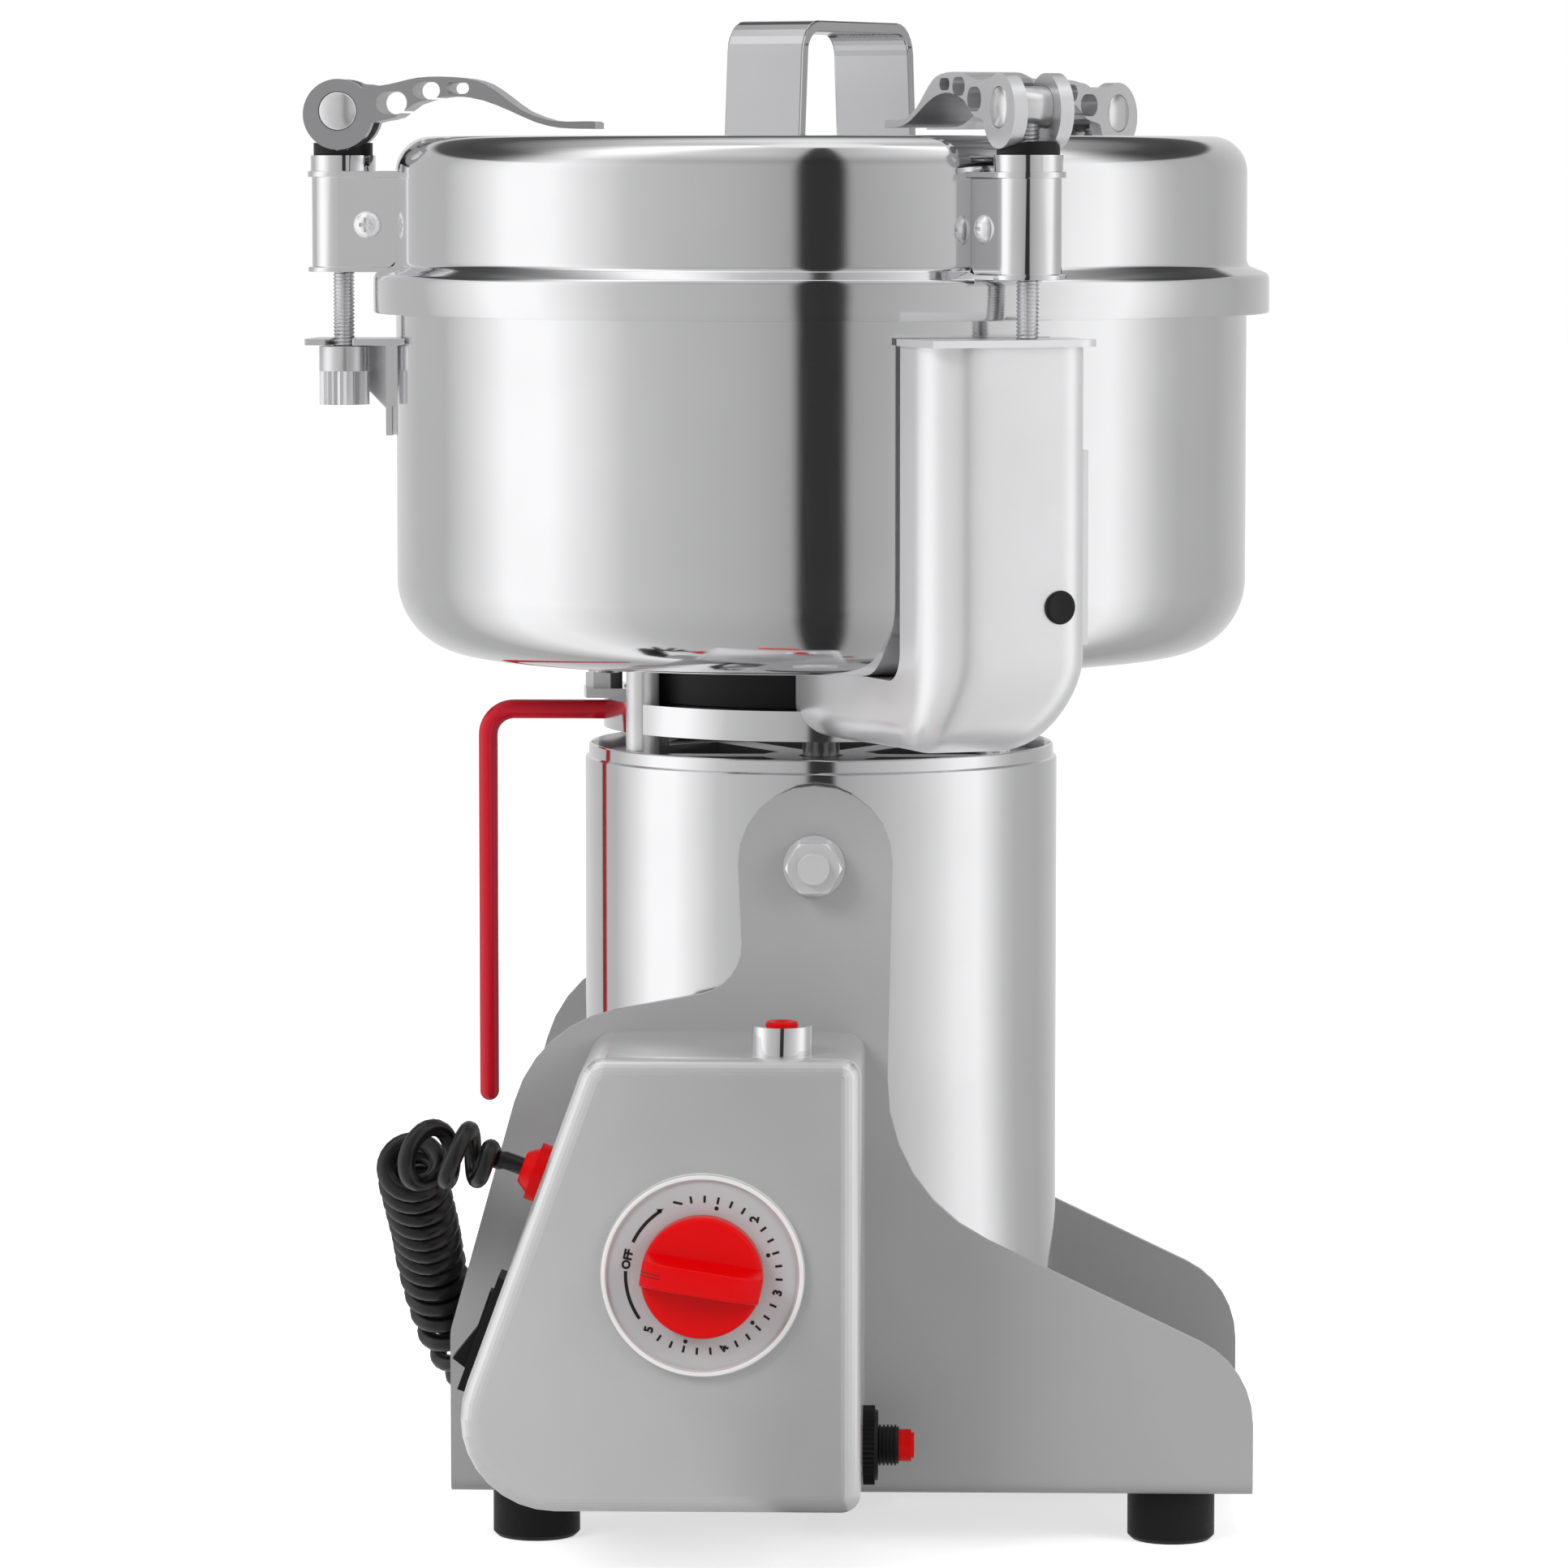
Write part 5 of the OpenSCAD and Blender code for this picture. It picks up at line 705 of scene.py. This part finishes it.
def timer_knob():
    """The knob's skirt, its spindle, and the grip bar, which keeps within the skirt's radius."""
    verts, faces = [], []
    turned([(0, 0), (KNOB_R, 0)] + arc(KNOB_R - SKIRT_ROUND, SKIRT_H - SKIRT_ROUND, SKIRT_ROUND, 0, 90, 8)
           + [(0, SKIRT_H)], on_knob, verts, faces, segments=128)
    turned([(0, SPINDLE_FOOT), (SPINDLE_R, SPINDLE_FOOT), (SPINDLE_R, SPINDLE_TOP), (0, SPINDLE_TOP)], on_knob,
           verts, faces, segments=32)
    base = len(verts)
    for k in range(GRIP_STATIONS + 1):
        x = KNOB_R * math.sin(math.radians(90 * (2 * k / GRIP_STATIONS - 1)))
        section = grip_section(x)
        for u, h in section:
            reach = math.sqrt(KNOB_R ** 2 - u ** 2)
            verts.append(on_knob(max(-reach, min(reach, x)), u, h))
    n = len(section)
    skin(base, n, GRIP_STATIONS + 1, faces)
    for row in (base, base + GRIP_STATIONS * n):
        faces += [(row + i, row + i + 1, row + n - 2 - i, row + n - 1 - i) for i in range(n // 2 - 1)]
    piece("timer_knob_moulded", verts, faces, RED, "timer_knob", replaced=["timer_knob"],
          sharp=38)


def knob_lines():
    """The two thin dark lines along the pointer end of the grip, on its falling top."""
    verts, faces = [], []
    for side in (-1, 1):
        for k in range(LINE_STEPS):
            b = len(verts)
            for end in (k, k + 1):
                x = LINE_FROM + (LINE_TO - LINE_FROM) * end / LINE_STEPS
                for u in (side * LINE_U - LINE_W / 2, side * LINE_U + LINE_W / 2):
                    verts += [on_knob(x, u, grip_top(x) + LINE_H), on_knob(x, u, grip_top(x) - LINE_H)]
            faces += [(b, b + 2, b + 6, b + 4), (b + 1, b + 3, b + 7, b + 5), (b, b + 1, b + 5, b + 4),
                      (b + 2, b + 3, b + 7, b + 6)]
            if k == 0:
                faces.append((b, b + 1, b + 3, b + 2))
            if k == LINE_STEPS - 1:
                faces.append((b + 4, b + 5, b + 7, b + 6))
    piece("knob_marks", verts, faces, MARK, "timer_knob")


timer_knob()
knob_lines()


# The start button's cap, with its dished top

CAP_LOWER, CAP_ROUND, DISH_R, DISH_DEEP, DISH_STEPS = 2.0, 0.7, 3.4, 0.9, 8


def start_button():
    """The cap, in the solid's place but lower."""
    low, high = ((corner - AXIS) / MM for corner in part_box("start_button"))
    x, y, r, top = (low.x + high.x) / 2, (low.y + high.y) / 2, (high.x - low.x) / 2, high.z - CAP_LOWER
    shares = [k / DISH_STEPS for k in range(DISH_STEPS + 1)]
    verts, faces = [], []
    turned([(0, low.z), (r, low.z)] + arc(r - CAP_ROUND, top - CAP_ROUND, CAP_ROUND, 0, 90, 6)
           + [(DISH_R * (1 - q), top - DISH_DEEP * (1 - math.cos(math.pi * q)) / 2) for q in shares],
           lambda u, v, h: (x + u, y + v, h), verts, faces, segments=64)
    piece("start_button_cap", verts, faces, RED, "start_button", replaced=["start_button"])


start_button()


# Clamp rods with their rolled threads and the levers' cross pins

CLAMPS = {"left": (175.0, 297.2), "front": (295.0, 300.3), "rear": (55.0, 297.2)}  # angle, and the rod's foot
CLAMP_R, ROD_R, ROD_MINOR, PITCH, TIP_H, TIP_SLOPE = 130.0, 3.0, 2.5, 1.0, 0.8, 0.5
ROD_POINTS, ROWS_PER_TURN, PIN_POINTS = 28, 5, 48
PIN_Z, PIN_R, PIN_L, PIN_EDGE, ROD_TO_PIN = 376.3, 5.25, 17.1, 0.5, 1.0


def threaded_rod(name, deg, foot):
    """A clamp's rod, from its foot up to its cross pin."""
    verts, faces = [], []
    cx, cy = polar(CLAMP_R, deg)
    length = PIN_Z - ROD_TO_PIN - foot
    rows = int(length / PITCH * ROWS_PER_TURN)
    for k in range(rows + 1):
        z = foot + length * k / rows
        for i in range(ROD_POINTS):
            share = ((z - foot) / PITCH - i / ROD_POINTS) % 1.0
            r = ROD_MINOR + (ROD_R - ROD_MINOR) * (1 - abs(2 * share - 1))
            if z - foot < TIP_H:
                r = min(r, ROD_MINOR + (z - foot) * TIP_SLOPE)
            x, y = polar(r, 360 * i / ROD_POINTS)
            verts.append((cx + x, cy + y, z))
    skin(0, ROD_POINTS, rows + 1, faces)
    faces += [tuple(range(ROD_POINTS)), tuple(rows * ROD_POINTS + i for i in range(ROD_POINTS))]
    base = len(verts)
    t = Vector((-math.sin(math.radians(deg)), math.cos(math.radians(deg)), 0))
    out = Vector((t.y, -t.x, 0))
    stations = [(-PIN_L / 2, PIN_R - PIN_EDGE), (-PIN_L / 2 + PIN_EDGE, PIN_R), (PIN_L / 2 - PIN_EDGE, PIN_R),
                (PIN_L / 2, PIN_R - PIN_EDGE)]
    for s, r in stations:
        for i in range(PIN_POINTS):
            u, v = polar(r, 360 * i / PIN_POINTS)
            verts.append(tuple(Vector((cx, cy, PIN_Z)) + t * s + out * u + Vector((0, 0, v))))
    skin(base, PIN_POINTS, len(stations), faces)
    for row in (base, base + (len(stations) - 1) * PIN_POINTS):
        faces.append(tuple(row + i for i in range(PIN_POINTS)))
    piece("threaded_rod_" + name, verts, faces, ZINC, "rod_" + name, replaced=["clamp_rod_" + name],
          sharp=50)


for name, (deg, foot) in CLAMPS.items():
    threaded_rod(name, deg, foot)


# Bevelled edges on the sharp-cut solids, in mm; the box has its own round edges and only gets even shading

ROUNDED = {"control_box": 0.0, "base_stand": 0.6, "bowl_brackets": 0.3, "clamp_brackets": 0.4,
           "clamp_housings": 0.4, "dial_plate": 0.3, "clamp_saddles": 0.5, "clamp_lever_left": 0.4,
           "clamp_lever_front": 0.4, "clamp_lever_rear": 0.4, "start_switch": 0.25, "swing_handle": 0.5,
           "breaker_body": 0.3, "lid_handle": 0.4, "support_ring": 0.3, "insulating_disc": 0.4, "rubber_feet": 0.4,
           "clamp_nut_left": 0.25, "clamp_nut_front": 0.25, "clamp_nut_rear": 0.25, "pivot_bolts": 0.2,
           "ring_bolts": 0.2, "housing_screws": 0.15, "rocker_paddle": 0.25, "rocker_frame": 0.25,
           "breaker_button": 0.2, "cable_gland": 0.3, "barrel_gland": 0.3}
WELD_DISTANCE, BEVEL_ANGLE = 2e-6, math.radians(40)
for name, width in ROUNDED.items():
    node = nodes[name]
    weld = node.modifiers.new("weld", "WELD")
    weld.merge_threshold = WELD_DISTANCE
    if width:
        bevel = node.modifiers.new("edges", "BEVEL")
        bevel.width, bevel.segments, bevel.limit_method = width * MM, 2, "ANGLE"
        bevel.angle_limit = BEVEL_ANGLE
        bevel.use_clamp_overlap = True
        bevel.harden_normals = False
    node.modifiers.new("normals", "WEIGHTED_NORMAL").keep_sharp = True


# Stage: floor, lamps, and a cylinder that only reflections see; sizes in m

RAY_OUTPUTS = ("Is Camera Ray", "Is Glossy Ray", "Is Transmission Ray")
WORLD_LIGHT, WORLD_SEEN, FLOOR_GREY, FLOOR_GLOW, FLOOR_ROUGH, FLOOR_HALF = 0.45, 1.0, 0.85, 0.62, 0.9, 12
# What reflections see: brightness round the mill, in degrees from the camera's side, and its shares at each
# radius and height, before and behind the mill
REFLECTIONS = [(-180, 0.80), (-154, 0.68), (-135, 0.55), (-117, 0.54), (-99, 0.92), (-89, 1.18), (-74, 1.18),
               (-60, 0.88), (-50, 0.66), (-38, 0.58), (-20, 0.51), (-7.5, 0.43), (-5.2, 0.035), (5.4, 0.035),
               (7.5, 0.42), (22, 0.52), (34, 0.60), (47, 0.72), (57, 0.86), (67, 1.04), (80, 1.12), (90, 0.86),
               (98, 0.64), (107, 0.52), (128, 0.47), (152, 0.60), (180, 0.80)]
SURROUND = [(0.02, 0.0005, 0.8, 0.8), (0.5, 0.0005, 0.95, 0.95), (1.2, 0.0005, 1.0, 1.0), (1.2, 0.80, 1.0, 1.0),
            (1.2, 0.86, 0.95, 0.16), (1.2, 1.1, 0.85, 0.12), (1.2, 1.3, 0.95, 0.16), (1.2, 1.9, 1.25, 0.8),
            (1.2, 2.6, 1.25, 1.2), (0.4, 2.9, 1.2, 1.2)]
AROUND, BEHIND_FROM, BEHIND_OVER = 360, 70, 40  # steps round the cylinder; where front turns into back, in degrees
LAMP_TARGET = AXIS + Vector((0, 0, 0.2))
LAMPS = [("key", (-1.4, -1.7, 1.6), (1.0, 1.0), 28), ("fill", (1.7, -1.4, 1.1), (1.0, 1.2), 16),
         ("top", (0, 0.3, 2.2), (1.4, 1.4), 22)]


def seen_rays(tree):
    """1 for camera, glossy and transmission rays."""
    path = tree.nodes.new("ShaderNodeLightPath")
    total = path.outputs[RAY_OUTPUTS[0]]
    for output in RAY_OUTPUTS[1:]:
        add = tree.nodes.new("ShaderNodeMath")
        add.operation = "MAXIMUM"
        tree.links.new(total, add.inputs[0])
        tree.links.new(path.outputs[output], add.inputs[1])
        total = add.outputs[0]
    return total


def studio_world():
    """White where it is seen, dimmer as a light."""
    world = bpy.data.worlds.new("studio")
    bpy.context.scene.world = world
    world.use_nodes = True
    tree = world.node_tree
    tree.nodes.clear()
    light, seen = tree.nodes.new("ShaderNodeBackground"), tree.nodes.new("ShaderNodeBackground")
    for background, strength in ((light, WORLD_LIGHT), (seen, WORLD_SEEN)):
        background.inputs["Color"].default_value = (1, 1, 1, 1)
        background.inputs["Strength"].default_value = strength
    mix, out = tree.nodes.new("ShaderNodeMixShader"), tree.nodes.new("ShaderNodeOutputWorld")
    tree.links.new(seen_rays(tree), mix.inputs["Fac"])
    tree.links.new(light.outputs[0], mix.inputs[1])
    tree.links.new(seen.outputs[0], mix.inputs[2])
    tree.links.new(mix.outputs[0], out.inputs["Surface"])


def stage_mesh(name, verts, faces, mat):
    """A mesh of the stage, in m."""
    mesh = bpy.data.meshes.new(name)
    mesh.from_pydata(verts, [], faces)
    mesh.materials.append(mat)
    obj = bpy.data.objects.new(name, mesh)
    bpy.context.scene.collection.objects.link(obj)
    return obj


def floor():
    """A floor that takes shadows and glows up to white where it is seen."""
    mat = bpy.data.materials.new("floor")
    mat.use_nodes = True
    tree = mat.node_tree
    shader = tree.nodes["Principled BSDF"]
    shader.inputs["Base Color"].default_value = (FLOOR_GREY, FLOOR_GREY, FLOOR_GREY, 1)
    shader.inputs["Roughness"].default_value = FLOOR_ROUGH
    shader.inputs["Emission Color"].default_value = (1, 1, 1, 1)
    scale = tree.nodes.new("ShaderNodeMath")
    scale.operation = "MULTIPLY"
    scale.inputs[1].default_value = FLOOR_GLOW
    tree.links.new(seen_rays(tree), scale.inputs[0])
    tree.links.new(scale.outputs[0], shader.inputs["Emission Strength"])
    stage_mesh("floor", [(-FLOOR_HALF, -FLOOR_HALF, 0), (FLOOR_HALF, -FLOOR_HALF, 0), (FLOOR_HALF, FLOOR_HALF, 0),
                         (-FLOOR_HALF, FLOOR_HALF, 0)], [(0, 1, 2, 3)], mat)


def reflections():
    """The cylinder round the mill, whose brightness is stored at its points."""
    mat = bpy.data.materials.new("studio_reflections")
    mat.use_nodes = True
    tree = mat.node_tree
    tree.nodes.clear()
    emission, out = tree.nodes.new("ShaderNodeEmission"), tree.nodes.new("ShaderNodeOutputMaterial")
    attribute = tree.nodes.new("ShaderNodeAttribute")
    attribute.attribute_name = "brightness"
    tree.links.new(attribute.outputs["Fac"], emission.inputs["Strength"])
    tree.links.new(emission.outputs[0], out.inputs["Surface"])
    rows = len(SURROUND)
    verts, faces, levels = [], [], []
    facing = math.degrees(math.atan2(camera.location.x - AXIS.x, AXIS.y - camera.location.y))
    for i in range(AROUND):
        angle = 360 * i / AROUND - 180
        a = math.radians(angle + facing)
        for (a0, b0), (a1, b1) in zip(REFLECTIONS, REFLECTIONS[1:]):
            if a0 <= angle <= a1:
                level = b0 + (b1 - b0) * (angle - a0) / (a1 - a0)
        behind = smooth((abs(angle) - BEHIND_FROM) / BEHIND_OVER)
        for k, (radius, z, front_share, back_share) in enumerate(SURROUND):
            verts.append((AXIS.x + radius * math.sin(a), AXIS.y - radius * math.cos(a), z))
            levels.append(level * (front_share + (back_share - front_share) * behind))
            if k:
                j = (i + 1) % AROUND
                faces.append((i * rows + k - 1, j * rows + k - 1, j * rows + k, i * rows + k))
    studio = stage_mesh("studio_reflections", verts, faces, mat)
    studio.data.attributes.new("brightness", "FLOAT", "POINT").data.foreach_set("value", levels)
    studio.visible_camera = studio.visible_diffuse = studio.visible_shadow = studio.visible_transmission = False


def lamp(name, location, size, energy):
    """An area lamp aimed at the mill's middle, which reflections don't see."""
    data = bpy.data.lights.new(name, "AREA")
    data.shape, data.size, data.size_y, data.energy = "RECTANGLE", size[0], size[1], energy
    obj = bpy.data.objects.new(name, data)
    bpy.context.scene.collection.objects.link(obj)
    obj.location = location
    obj.rotation_euler = (LAMP_TARGET - obj.location).to_track_quat("-Z", "Y").to_euler()
    obj.visible_glossy = False


studio_world()
floor()
reflections()
for name, location, size, energy in LAMPS:
    lamp(name, location, size, energy)

bpy.context.scene.view_settings.view_transform = "Standard"
